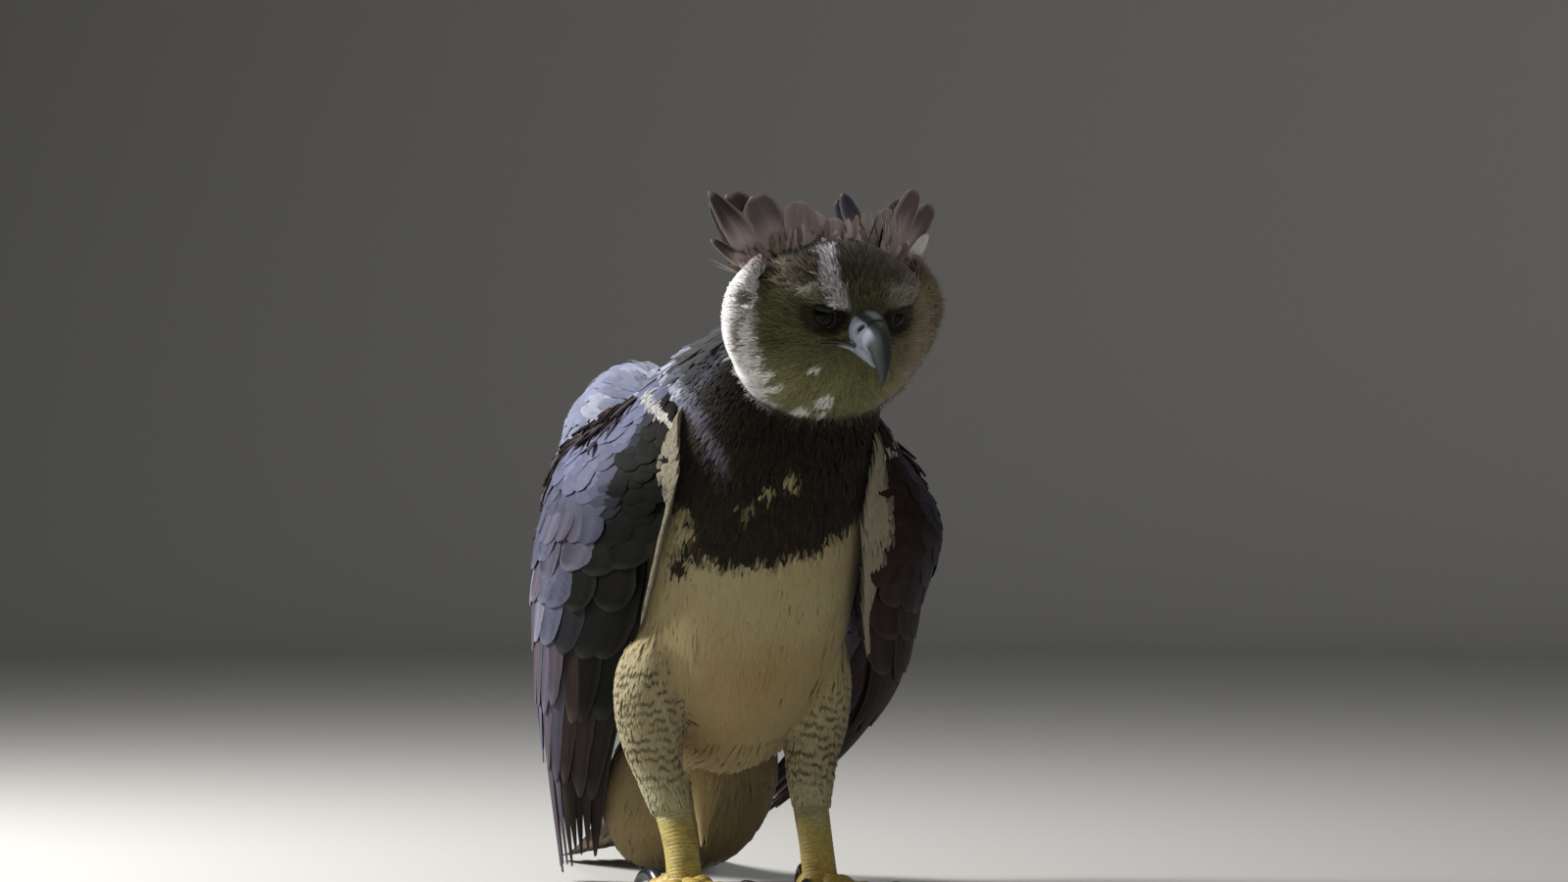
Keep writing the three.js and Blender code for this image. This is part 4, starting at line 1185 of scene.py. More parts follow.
skin_in_head = into_head(skin_points)
skin_behind, skin_up = skin_in_head[:, 1], skin_in_head[:, 2]
is_head, is_ruff = part_is(skin_part, "head"), part_is(skin_part, "ruff")
head_coat("face_coat", 1.5 * (is_head & (skin_behind < -14)),
          lambda local: lerp(5.5, 13, ease(-52, -14, local[:, 1])), 0.62, 1.2, 1.9, 0.2)
on_chin = is_head & (skin_behind >= -14) & (skin_up < -18) & (skin_behind < 26)
head_coat("chin_coat", 1.9 * on_chin, lambda local: 9.0, 0.5, 1.2, 1.6, 0.2)
head_coat("nape_coat", 0.6 * (is_head & (skin_behind >= -14) & ~on_chin),
          lambda local: 16.0, 1.3, 1.9, 3.0, 0.16)
head_coat("ruff", 1.9 * is_ruff * lerp(1.8, 1, ease(-40, 0, skin_up)),
          lambda local: lerp(8, 16, ease(-30, 20, local[:, 2])) + 5 * ease(36, 60, local[:, 0]),
          0.42, 1.7, lambda local: lerp(2.8, 7, ease(36, 60, local[:, 0])), 0.3)
on_crown = is_head & (skin_up > 42) & (skin_behind < 24)
head_coat("crown_coat", 0.55 * on_crown, lambda local: lerp(8, 17, ease(-46, -8, local[:, 1])),
          0.95, 2.2, 4.2, 0.3, LEAF, 0.24)

# %% [markdown]
# The thighs and shanks carry short, close feathers, white with wavy black bars. The bars run
# across many feathers, so each point of a feather takes its colour from the marking function.

# %% Coat of the thighs
for name, side in SIDES.items():
    roots = roots_where(0.62 * (part_is(skin_part, "thigh") & (skin_points[:, 0] * side > 0)))
    leaves = lying(roots, BARRED[0], lerp(15, 9, roots["t"]), 1.35, 1.4, 1.9, twist=0.12)
    rings = leaves["spine"][:, :-1]
    places = np.concatenate([np.repeat(rings, 3, 1), leaves["spine"][:, -1:]], 1)
    shade = rng.normal(1, 0.05, (len(places), 1, 1))
    leaves["colour"] = thigh_colours(places.reshape(-1, 3)).reshape(places.shape) * shade
    leaf_piece(f"thigh_coat_{name}", leaves, BARRED, soft_plumage)

# %% [markdown]
# A large feather is a thin vane on both sides of a shaft. It is laid on a curved sheet, such as
# the folded wing, from its root to its tip, both given as shares of the sheet, and it stands a
# little higher along one edge than along the other, so that each covers the next like a tile.

# %% Large feathers
FINE = np.array([-1, -0.7, -0.38, -0.1, 0, 0.1, 0.38, 0.7, 1])
PLAIN = np.array([-1, -0.5, 0, 0.5, 1])
HALF_VANE = 0.28


def vane_faces(count, rings, columns):
    """Quads of the upper and lower faces and of the rim of count vanes."""
    row = np.arange(rings - 1)[:, None] * columns
    column = np.arange(columns - 1)
    top = np.stack([row + column, row + column + 1, row + columns + column + 1,
                    row + columns + column], -1).reshape(-1, 4)
    under = top[:, ::-1] + rings * columns
    rim = np.concatenate([
        np.arange(columns - 1),
        np.arange(rings - 1) * columns + columns - 1,
        rings * columns - 1 - np.arange(columns - 1),
        (rings - 1 - np.arange(rings - 1)) * columns,
    ])
    after = np.roll(rim, -1)
    edge = np.stack([after, rim, rim + rings * columns, after + rings * columns], -1)
    one = np.concatenate([top, under, edge])
    return (one[None] + np.arange(count)[:, None, None] * 2 * rings * columns).reshape(-1, 4)


def vane_outline(v, point=0.0, quill=0.4, full=0.35):
    """Half-width along a feather: a narrow quill, full from a share on, round or pointed tip."""
    start = quill + (1 - quill) * np.sin(np.pi / 2 * np.clip(v / full, 0, 1))
    past = np.clip((v - 0.7) / 0.3, 0, 1)
    round_tip = np.sqrt(1 - 0.96 * past ** 2)
    sharp_tip = 1 - 0.9 * np.clip((v - 0.45) / 0.55, 0, 1) ** 1.6
    return start * lerp(round_tip, sharp_tip, point)


def laid(sheet, root, tip, half, heights, tilt, rings, across, point=0.0, camber=1.2, quill=0.4,
         full=0.35, ragged=0.07, shaft=1.0):
    """Points of vanes on a sheet, both faces of each (N, 2, R, C, 3), with their u and v.

    root and tip are (N, 2) in s and w, half is a half-width in w, and heights are those of the
    root, middle and tip. The shaft is a ridge at the middle that sinks towards the tip.
    """
    v = 1 - (1 - np.linspace(0, 1, rings)) ** 1.6
    count = len(root)
    torn = 1 - ragged * rng.random((count, rings, 1)) ** 2 * ease(0.2, 0.5, v)[None, :, None]
    side = across[None, None, :] * vane_outline(v, point, quill, full)[None, :, None] * torn
    v = v[None, :, None]
    s = lerp(root[:, 0, None, None], tip[:, 0, None, None], v) + 0 * side
    w = lerp(root[:, 1, None, None], tip[:, 1, None, None], v) + side * half[:, None, None]
    low, middle, high = (h[:, None, None] for h in heights)
    h = low * (1 - v) * (1 - 2 * v) + 4 * middle * v * (1 - v) + high * v * (2 * v - 1)
    h = h - np.asarray(tilt).reshape(-1, 1, 1) * side / 2 + camber * (1 - across ** 2)[None, None]
    ridge = shaft * np.exp(-(across / 0.1) ** 2)[None, None] * lerp(1.0, 0.15, v)
    top, under = sheet(s, w, h + HALF_VANE + ridge), sheet(s, w, h - HALF_VANE - 0.4 * ridge)
    u = np.broadcast_to((across + 1)[None, None] / 2, s.shape)
    v = np.broadcast_to(v, s.shape)
    return np.stack([top, under], 1), u, v


def uneven(heights, count, spread):
    """Heights of the root, middle and tip of count feathers, each with a little chance."""
    return [np.full(count, height) + rng.normal(0, spread, count) for height in heights]


def vane_normals(shape):
    """Normals of both faces of vanes: each looks away from the other, also at the rim."""
    across, along = np.gradient(shape, axis=3), np.gradient(shape, axis=2)
    normal = unit(np.cross(across, along))
    out = shape[:, :1] - shape[:, 1:]
    normal = normal * np.where(dot(normal, out) < 0, -1, 1)
    return normal * np.array([1, -1])[None, :, None, None, None]


def vane_piece(name, sets, material, replaces=()):
    """One piece of several sets of vanes.

    A set is (points, u, v, colour) or has a second colour for the lower face, with a colour for
    each point of a face. On the flat map each feather has a rectangle of its own.
    """
    points, quads, colours, vanes, maps = [], [], [], [], []
    total = sum(len(s[0]) for s in sets)
    columns = math.ceil(math.sqrt(total))
    first = done = 0
    for shape, u, v, *colour in sets:
        count, _, rings, across = shape.shape[:4]
        points.append(shape.reshape(-1, 3))
        quads.append(vane_faces(count, rings, across) + first)
        first += shape.size // 3
        colours.append(np.stack([colour[0], colour[-1]], 1).reshape(-1, 3))
        seed = np.round(rng.uniform(0, 40, (count, 1, 1, 1)))
        pair = np.repeat(np.stack([u, v], -1)[:, None], 2, 1)
        vanes.append((pair + seed[..., None] * [0, 1]).reshape(-1, 2))
        face = np.arange(2)[None, :, None, None]
        cell = np.arange(count)[:, None, None, None] + done
        x = (cell % columns + 0.04 + 0.44 * pair[..., 0] + 0.48 * face) / columns
        y = (cell // columns + 0.04 + 0.92 * pair[..., 1]) / columns
        maps.append(np.stack([x, y], -1).reshape(-1, 2))
        done += count
    mesh = mesh_of(name, np.vstack(points), np.vstack(quads))
    normals = np.vstack([vane_normals(shape).reshape(-1, 3) for shape, *_ in sets])
    mesh.normals_split_custom_set_from_vertices(normals.astype(np.float32))
    give_colour(mesh, np.vstack(colours))
    give_uv(mesh, "Vane", np.vstack(vanes))
    give_uv(mesh, "OFBake", np.vstack(maps))
    return piece_of(mesh, material, replaces)


# %% [markdown]
# The folded wing has many tiers: small soft coverts over the shoulder, then larger ones, then the
# long secondaries, and last the primaries, which reach its tip. Rows of small feathers along its
# front edge are cream. Each tier's tips lie over the roots of the next, a little unevenly.

# %% Wings
WING_BLACK = np.array([0.0065, 0.0065, 0.0055])
WING_BLOOM_AND_SHEEN = np.array([0.13, 0.135, 0.21])
WING_PAINTED_GLINT = np.array([0.36, 0.36, 0.46])
WING_VIOLET = np.array([0.085, 0.068, 0.083])
WING_BROWN = np.array([0.026, 0.018, 0.016])
WING_TIERS = [
    # feathers, w range, tips' s range, length in s, heights, rings, point, columns
    (13, (0.06, 0.97), (0.345, 0.375), 0.14, (-6, 0.6, 3.2), 8, 0.0, FINE),
    (10, (0.08, 0.96), (0.4, 0.43), 0.17, (-7, 0.8, 3.6), 9, 0.0, FINE),
    (9, (0.09, 0.95), (0.475, 0.5), 0.2, (-8, 0.8, 3.8), 10, 0.0, FINE),
    (10, (0.07, 0.95), (0.56, 0.6), 0.26, (-8, 0, 3.4), 12, 0.1, FINE),
    (12, (0.05, 0.97), (0.7, 0.68), 0.4, (-8, -0.6, 3.2), 16, 0.25, FINE),
    (11, (0.05, 0.97), (0.85, 0.76), 0.46, (-7, -1.4, 2.6), 18, 0.35, FINE),
    (11, (0.04, 0.66), (0.955, 1.0), 0.56, (-5, -2.4, 1.8), 22, 0.5, FINE),
]
LESSER_ROWS = 11
LESSER_RINGS = 6
# Painted light and shade: the right wing takes the full painted sheen; the left one, in shade, gets a
# quarter of it and a browner ground.
PAINTED_LIGHT_BY_SIDE = {"right": 1.0, "left": 0.25}
MARGIN_LANES = 5
# Partly painted highlight: the lit right wrist gets far more whitish feathers than the shaded left one.
WRIST_HIGHLIGHT_FEATHERS = {"right": 260, "left": 60}
RAGGED_FEATHERS = 240
for k in range(LESSER_ROWS):
    tip_s = 0.01 + 0.031 * k
    WING_TIERS.insert(k, (18 - k // 3, (0.05, 0.98), (tip_s, tip_s + 0.006), 0.085 + 0.004 * k,
                          (-4, 0.4, 1.3 + 0.08 * k), LESSER_RINGS, 0.05, PLAIN))


def wing_colour(s, w, brown, painted_light):
    """Black near the front edge, then blue-grey bloom with painted sheen and pale painted glints,
    violet-brown low down; the wing in shade gets less of these and a browner ground.
    """
    place = np.stack([160 * w, 420 * s, 0 * s], -1)
    border = lerp(lerp(0.27, 0.17, ease(0.1, 0.3, s)), 0.27, ease(0.34, 0.5, s))
    # Partly painted light: the blue-grey bloom gathers where light raises the sheen on the lit wing.
    bloom_and_sheen = ease(-0.05, 0.07, w - border + 0.04 * cloud(place, 60)) * painted_light
    band = ease(0.3, 0.2, s) * (1 + 0.2 * cloud(place, 50))
    ground = mix(WING_BROWN, WING_BLACK, ease(0.2, 0.9, painted_light) + 0 * s)
    colour = mix(ground, WING_BLOOM_AND_SHEEN, bloom_and_sheen * lerp(0.45, 0.9, band))
    colour = mix(colour, WING_VIOLET, bloom_and_sheen * ease(0.22, 0.4, s) * ease(0.2, 0.9, brown))
    # Painted highlight: pale glints on the lower middle of the wing.
    painted_glint = ease(0, 1, cloud(place, 60)) * ease(0.3, 0.5, w) * ease(0.36, 0.46, s) * ease(0.86, 0.7, s)
    colour = mix(colour, WING_PAINTED_GLINT, bloom_and_sheen * painted_glint * 0.4)
    return mix(colour, WING_BROWN, ease(0.55, 1.0, brown) * (1 - 0.6 * bloom_and_sheen))


def wing_set(sheet, painted_light, root, tip, half, levels, tilt, rings, across, point, **extra):
    """A set of dark vanes whose edges are a little worn and pale, with a painted band of sheen along
    each and painted shade towards its root.
    """
    shape, u, v = laid(sheet, root, tip, half, levels, tilt, rings, across, point, **extra)
    s, w = tip.T
    brown = 0.75 * rng.random(len(s)) + 0.45 * ease(0.5, 0.9, s)
    large = rings > LESSER_RINGS
    base = varied(wing_colour(s, w, brown, painted_light), 0.14 if large else 0.07)
    off = np.abs(2 * u - 1)
    worn = np.clip(ease(0.9, 1.0, v) + 0.8 * ease(0.86, 1.0, off) * ease(0.3, 0.8, v), 0, 1)
    worn = worn * ease(0.3, 0.42, s)[:, None, None]
    # Painted highlight: a band of sheen along each vane; painted shade darkens it towards the root.
    painted_gloss = np.exp(-((2 * u - 0.6) / 0.45) ** 2)
    light = 0.62 + 0.75 * painted_gloss if large else 0.92 + 0.16 * painted_gloss
    colour = base[:, None, None] * (light * (0.86 + 0.2 * v))[..., None]
    return shape, u, v, mix(colour, base[:, None, None] * 2.2 + 0.02, worn * 0.6)


def wing_sets(name):
    """The tiers of one wing as sets of vanes."""
    sheet = wing_sheet(name)
    sets = []
    for count, reach, tips, length, heights, rings, point, across in WING_TIERS:
        share = np.arange(count) / (count - 1)
        spacing = (reach[1] - reach[0]) / (count - 1)
        lesser = rings <= LESSER_RINGS
        w = lerp(*reach, share) + rng.normal(0, (0.24 if lesser else 0.24 * 0.6) * spacing, count)
        s = lerp(*tips, share) + rng.normal(0, 0.009, count)
        root = np.stack([s - length, lerp(w, 0.5, 0.1) + rng.normal(0, 0.3 * spacing, count)], -1)
        levels = uneven(heights, count, 0.3)
        half = spacing * rng.normal(0.95, 0.08, count)
        w = np.maximum(w, 0.8 * half - 0.01)
        tilt = rng.normal(0.7 if lesser else 2.2, 0.3, count)
        sets.append(wing_set(sheet, PAINTED_LIGHT_BY_SIDE[name], root, np.stack([s, w], -1), half, levels, tilt,
                             rings, across, point, camber=0.3 if lesser else 1.0, shaft=0.3))
    return sets


def margin_breadth(name, s):
    """How far from the front edge the cream strip reaches, as a share of the wing."""
    broad = ease(-0.05, 0.06, s) * ease(0.26, 0.14, s)
    return lerp(0.002, 0.055, broad) if name == "right" else lerp(0.01, 0.07, ease(0.44, 0.2, s))


def margin_set(name):
    """Small cream feathers along the front edge, the strip broad above and thin below."""
    rows = np.repeat(np.arange(-0.02, 0.5, 0.0075), MARGIN_LANES)
    count = len(rows)
    lane = np.tile(np.arange(MARGIN_LANES), count // MARGIN_LANES)
    s = rows + rng.normal(0, 0.004, count)
    w = margin_breadth(name, s) * (lane + rng.normal(0, 0.4, count)) / 4 - 0.012
    root, tip = np.stack([s - 0.075, w], -1), np.stack([s, w + 0.004], -1)
    levels = uneven((-3, 1.3, 1.8), count, 0.2)
    levels[1], levels[2] = (h + 1.4 * ease(0.26, 0.32, s) for h in levels[1:])
    half = rng.uniform(0.8, 1.3, count) * lerp(0.004, 0.012, ease(0.3, 0.15, s))
    shape, u, v = laid(wing_sheet(name), root, tip, half, levels, 0.2, 6, PLAIN, 0.4, camber=0.15,
                       shaft=0.0)
    fade = np.clip(ease(3, 4.5, lane) * rng.random(count), 0, 0.6)
    base = varied(mix(mix(CREAM, PALE, 0.5) * 0.62, WING_BLACK * 2, fade), 0.05)
    return shape, u, v, base[:, None, None] * (0.9 + 0.15 * v[..., None])


def wrist_highlight_set(name):
    """Small whitish feathers along the top of the wrist, partly a painted highlight, so the wing in
    shade has fewer.
    """
    count = WRIST_HIGHLIGHT_FEATHERS[name]
    w = rng.uniform(0.0, 0.5, count)
    s = rng.normal(-0.004, 0.006, count)
    root = np.stack([s - 0.03, w + 0.012], -1)
    levels = uneven((-4, 0.9, 1.6), count, 0.2)
    shape, u, v = laid(wing_sheet(name), root, np.stack([s, w], -1),
                       rng.uniform(0.006, 0.013, count), levels, 0.3, 6, PLAIN, 0.5, camber=0.2,
                       shaft=0.0)
    base = varied(mix(PALE, MANTLE_WITH_SHEEN, rng.random(count) * ease(0, 0.35, w)), 0.1)
    return shape, u, v, base[:, None, None] * (0.85 + 0.2 * v[..., None])


def ragged_set(name):
    """Loose narrow brown feathers that stick out along the back edge of the shoulder."""
    count = RAGGED_FEATHERS
    s = rng.uniform(0.06, 0.4, count)
    w = lerp(0.6, 0.86, ease(0.06, 0.26, s)) + rng.normal(0, 0.08, count)
    root = np.stack([s - rng.uniform(0.04, 0.09, count), w + 0.04], -1)
    levels = uneven((-3, 2.6, 5), count, 1.4)
    half = rng.uniform(0.006, 0.02, count)
    tip = np.stack([s, w - rng.uniform(-0.09, 0.1, count)], -1)
    shape, u, v = laid(wing_sheet(name), root, tip, half, levels, 1.5, 7, PLAIN, 0.9, ragged=0.35)
    base = varied(mix(WING_VIOLET, WING_BROWN * 0.7, ease(0, 0.7, rng.random(count))), 0.15)
    return shape, u, v, base[:, None, None] * (0.8 + 0.4 * v[..., None])


for name in SIDES:
    sets = wing_sets(name) + [margin_set(name), wrist_highlight_set(name), ragged_set(name)]
    vane_piece(f"wing_plumage_{name}", sets, glossy_plumage, [f"wing_{name}"])

# %% [markdown]
# Twelve long feathers make the tail, dark with broad grey bands above and pale beneath. Three of
# the bands show past the rows of coverts that lie over the feathers' roots.

# %% Tail
TAIL_FEATHERS = 12
TAIL_DARK = np.array([0.028, 0.024, 0.026])
TAIL_GREY = np.array([0.17, 0.155, 0.145])
TAIL_UNDER = np.array([0.27, 0.225, 0.17])
TAIL_COVERTS = [
    # feathers, where their tips end, length in s, height in mm
    (12, 0.14, 0.16, 10), (12, 0.2, 0.2, 9), (12, 0.27, 0.22, 8), (11, 0.35, 0.24, 7),
    (11, 0.43, 0.26, 6),
]


def tail_sets():
    """The tail's feathers and coverts as sets of vanes."""
    share = np.arange(TAIL_FEATHERS)
    spacing = 1.7 / (TAIL_FEATHERS - 1)
    w = -0.85 + spacing * share
    lift = 1.4 * (6 - np.abs(share - 5)) - 5
    root = np.stack([np.full(TAIL_FEATHERS, 0.16), w * 0.7], -1)
    tip = np.stack([0.996 - 0.05 * w * w, w], -1)
    half = np.full(TAIL_FEATHERS, spacing * 0.9)
    shape, u, v = laid(tail, root, tip, half, [lift, lift, lift], 0.0, 30, FINE, 0.1)
    bands = ease(0.1, 0.5, np.sin(2 * np.pi * (v * 3.6 - 0.2) + 0.4 * np.sin(9 * u)))
    colour = mix(TAIL_DARK + 0 * v[..., None], TAIL_GREY, bands * 0.85)
    colour = mix(colour, PALE * 0.6, ease(0.975, 1.0, v))
    under = mix(TAIL_UNDER * 0.45 + 0 * v[..., None], TAIL_UNDER * 1.3, bands)
    sets = [(shape, u, v, colour, under)]
    for count, s_tip, length, high in TAIL_COVERTS:
        w = np.linspace(-0.85, 0.85, count) + rng.normal(0, 0.02, count)
        s = s_tip + rng.normal(0, 0.012, count)
        root = np.stack([s - length, w * 0.8], -1)
        levels = uneven((2, high * 0.9, high), count, 0.3)
        half = np.full(count, 0.115)
        shape, u, v = laid(tail, root, np.stack([s, w], -1), half, levels, 1.5, 9, FINE)
        colour = mix(DARK_SLATE + 0 * v[..., None], TAIL_GREY, ease(0.9, 1, v) * 0.6)
        sets.append((shape, u, v, colour, colour * 2))
    return sets


vane_piece("tail_plumage", tail_sets(), glossy_plumage, ["tail"])

# %% [markdown]
# The double crest is the harpy's mark. Broad feathers stand up from the back of the crown, the
# longest at its two sides. Each is dark in its outer part, rosy at its base, with a pale rim and
# shaft. Down and short loose feathers fill the gaps between their feet, and a few stiff hairs and
# bare new quills stand up between them.

# %% Crest
CREST = [
    # foot and tip, each left, forward, up; half-width, how pointed, how dark
    ((-72, -20, 43), (-106, -36, 63), 6, 0.5, 1.0), ((-64, -22, 50), (-109, -48, 101), 13, 0.8, 1.0),
    ((-54, -29, 54), (-86, -56, 97), 17, 0.1, 0.95), ((-49, -17, 60), (-68, -44, 101), 18, 0.05, 0.8),
    ((-30, -14, 65), (-25, -38, 99), 18, 0.0, 0.35), ((-8, -24, 66), (-4, -48, 88), 14, 0.0, 0.05),
    ((4, -14, 68), (10, -32, 87), 15, 0.0, 0.1), ((30, -26, 70), (21, -54, 102), 9, 0.35, 1.2),
    ((42, -18, 62), (62, -36, 93), 13, 0.2, 0.4), ((55, -20, 60), (90, -46, 108), 12.5, 0.1, 0.8),
    ((66, -26, 54), (112, -50, 92), 13.5, 0.1, 0.85), ((76, -20, 46), (103, -36, 71), 8, 0.3, 0.0),
]
CREST_SUNK = 14.0
CREST_DARK = np.array([0.062, 0.048, 0.048])
CREST_ROSE = np.array([0.56, 0.44, 0.45])
CREST_RIM = np.array([0.6, 0.52, 0.5])


def crest_sheet(foot, end, half):
    """The face of one crest feather: s up it, w from -1 to 1 across and h in front of it."""
    rise = unit(end - foot)
    length = np.linalg.norm(end - foot) + CREST_SUNK
    face = unit(np.cross(rise, (rise[2], 0, -rise[0])))
    across = np.cross(face, rise)

    def sheet(s, w, h):
        """Up the feather by s, across it by w, curled back by 5 * s * s."""
        out = foot + rise * (length * s - CREST_SUNK)[..., None] + across * (w * half)[..., None]
        return from_head(out + face * (5 * s * s + 2.5 * w * w - h)[..., None])

    return sheet


def crest_sets():
    """Every crest feather as a set of one vane, with a smaller one behind it."""
    sets = []
    one = np.ones(1)
    for number, (start, end, half, point, dark) in enumerate(CREST):
        lean = (-1) ** number
        for behind in (0, 1):
            foot = in_head(*start) + behind * np.array([3.0 * lean, 4, -2])
            reach = lerp(in_head(*start), in_head(*end), 1 - 0.2 * behind)
            sheet = crest_sheet(foot, reach + behind * np.array([6.0 * lean, 5, 0]), half)
            shape, u, v = laid(sheet, np.array([[0.0, 0]]), np.array([[1.0, 0]]), one, [0 * one] * 3,
                               0.0, 22, FINE, point, camber=0.8, quill=0.45, full=0.6, ragged=0.06,
                               shaft=0.25)
            off = np.abs(2 * u - 1)
            shade = ease(0.32, 0.8, v + 0.1 * off) * min(dark, 1)
            colour = mix(CREST_ROSE + 0 * v[..., None], CREST_DARK, shade)
            rim = np.clip(ease(0.8, 1.0, off) + ease(0.92, 1.0, v), 0, 1)
            colour = mix(colour, CREST_RIM, rim * 0.6)
            colour = mix(colour, CREST_RIM, np.exp(-(off / 0.07) ** 2) * 0.35 * ease(0.9, 0.4, v))
            colour = mix(colour, WING_BLOOM_AND_SHEEN * 0.6, ease(0.4, 0.7, v) * max(dark - 1, 0) * 3)
            if dark == 0:
                colour = mix(colour, WHITE, ease(0.3, 0.6, v) * 0.9)
            # Painted shade: the feather behind is a quarter darker, as the one in front shades it.
            sets.append((shape, u, v, colour * (1 - 0.25 * behind)))
    return sets


vane_piece("crest", crest_sets(), soft_plumage)


def free_leaves(foot, way, face, length, half, bow, v, colour):
    """Leaves in the head's frame that rise from a foot along a way and bow towards the back."""
    side = unit(np.cross(way, face))
    up = unit(np.cross(side, way))
    share = v[None, :, None]
    spine = foot[:, None] + (way * length[:, None])[:, None] * share
    spine = spine - up[:, None] * (bow * length)[:, None, None] * share ** 2
    turned = [np.repeat((x @ HEAD_TURNED.T)[:, None], len(v), 1) for x in (up, side)]
    place = from_head(spine)
    return {"spine": place, "up": turned[0], "side": turned[1], "half": half, "colour": colour,
            "uv": skin_uv[nearest(skin_tree, place[:, 0])], "bend": np.full(len(foot), 0.2)}


CREST_DOWN = 70
feet, ways, tones = [], [], []
for number, (start, end, half, point, dark) in enumerate(CREST):
    foot, end = in_head(*start), in_head(*end)
    beside = in_head(*CREST[min(number + 1, len(CREST) - 1)][0])
    along_row = lerp(foot, beside, rng.uniform(-0.4, 0.6, (CREST_DOWN, 1)))
    feet.append(along_row + rng.normal(0, 4, (CREST_DOWN, 3)))
    ways.append(unit(end - foot) * [0.8, 1, 1] + rng.normal(0, 0.16, (CREST_DOWN, 3)))
    tones.append(mix(CREST_ROSE * (1.0 + 0.4 * (dark < 0.2)), CROWN * 2.4,
                     rng.random(CREST_DOWN) ** (1.3 + 3 * (dark < 0.2))))
feet, ways, tones = np.vstack(feet), unit(np.vstack(ways)), np.vstack(tones)
down = free_leaves(feet - ways * 9, ways, np.tile([0.0, -1.0, 0.3], (len(feet), 1)),
                   rng.uniform(15, 25, len(feet)), rng.uniform(1.8, 4.2, len(feet)),
                   rng.uniform(-0.05, 0.3, len(feet)), BROAD[0], varied(tones, 0.12))
leaf_piece("crest_down", down, BROAD, soft_plumage)

HAIRS = 22
hair_feet = np.stack([rng.uniform(36, 64, HAIRS), rng.uniform(14, 24, HAIRS), np.full(HAIRS, 62)], -1)
hair_ways = unit(np.stack([rng.uniform(-0.25, 0.2, HAIRS), np.full(HAIRS, 0.35), np.ones(HAIRS)], -1))
quill_feet = np.array([[24.0, 8, 70], [38, 10, 68], [-84, 20, 40], [-80, 22, 38]])
quill_ways = unit(np.array([[0.42, 0.25, 1.0], [0.15, 0.2, 1.0], [-1.0, 0.5, 0.35], [-1.0, 0.5, 0.2]]))
bristles = free_leaves(
    np.vstack([hair_feet, quill_feet]), np.vstack([hair_ways, quill_ways]),
    np.tile([0.0, -1.0, 0.3], (HAIRS + 4, 1)),
    np.append(rng.uniform(28, 42, HAIRS), [31, 20, 30, 26]),
    np.append(np.full(HAIRS, 0.35), [0.6, 1.3, 0.5, 0.5]), np.full(HAIRS + 4, 0.1), HAIR[0],
    np.vstack([np.tile(WHITE * 0.8, (HAIRS, 1)), np.tile(WING_BLACK, (2, 1)),
               np.tile(WHITE * 0.7, (2, 1))]),
)
leaf_piece("crest_hairs", bristles, HAIR, soft_plumage)

# %% [markdown]
# The bill is horn: a deep base with a soft cere that holds the slanting nostrils, and a hook that
# bends down past the lower bill. Two tubes with few rows of sizes give it. Its sides are flat and
# pale blue-grey, grey horn brightened by a painted highlight, its ridge is dark, and the nostrils
# are painted dark as shade in their openings. Bare skin borders the gape, with a painted shadow
# line above it and a painted highlight on the lower fold near the bill.

# %% Bill
UPPER_LINE = [(0, -42, 20), (0, -57, 22), (0, -72, 21), (0, -84, 16), (0, -92, 7), (0, -96.5, -3),
              (0, -99, -13)]
UPPER_SIZE = [(15, 14), (13.5, 15), (11.5, 14), (9, 12), (6.5, 9), (3.6, 5.2), (0.8, 1)]
LOWER_LINE = [(0, -42, 5), (0, -58, 6), (0, -72, 4), (0, -83, -1)]
LOWER_SIZE = [(12, 8), (11, 8), (8.5, 7), (3.5, 3)]
UPPER_LENGTH = 76.0
CERE_END = 0.33
NOSTRIL = (0.265, 0.22)
GAPE_LINE = [(10, -62, 6), (20, -55, 7), (28, -52, 7), (36, -48, 5)]
RIDGE_HORN = np.array([0.032, 0.038, 0.037])
SIDE_HORN_AND_HIGHLIGHT = np.array([0.46, 0.5, 0.63])
EDGE_HORN_AND_HIGHLIGHT = np.array([0.46, 0.51, 0.63])


def nostril(t, rise):
    """1 inside the slanting slit of a nostril and 0 away from it."""
    ahead, above = (t - NOSTRIL[0]) * UPPER_LENGTH, (rise - NOSTRIL[1]) * 14
    along, off = ahead * 0.53 + above * 0.85, ahead * 0.85 - above * 0.53
    return np.exp(-(off / 2.1) ** 2 - (along / 4.6) ** 4)


def upper_bill(t, angle):
    """The upper bill: a tube with a narrow top, a swollen cere and a nostril on each side."""
    rise = np.sin(angle)
    narrow = 1 - 0.2 * ease(0.2, 1.0, rise) * ease(0.2, 0.5, t)
    flat_side = np.abs(np.cos(angle)) ** 0.75 * np.sign(np.cos(angle))
    cere = 1 + 0.055 * ease(CERE_END + 0.012, CERE_END - 0.012, t)
    line = spline(UPPER_LINE, t)
    size = spline(UPPER_SIZE, t)
    _, deep = across_path(UPPER_LINE, t, (1, 0, 0))
    x = size[..., 0] * flat_side * narrow * cere * (1 - 0.3 * nostril(t, rise))
    z = size[..., 1] * rise * cere
    return from_head(line + np.stack([x, 0 * x, 0 * x], -1) + deep * z[..., None])


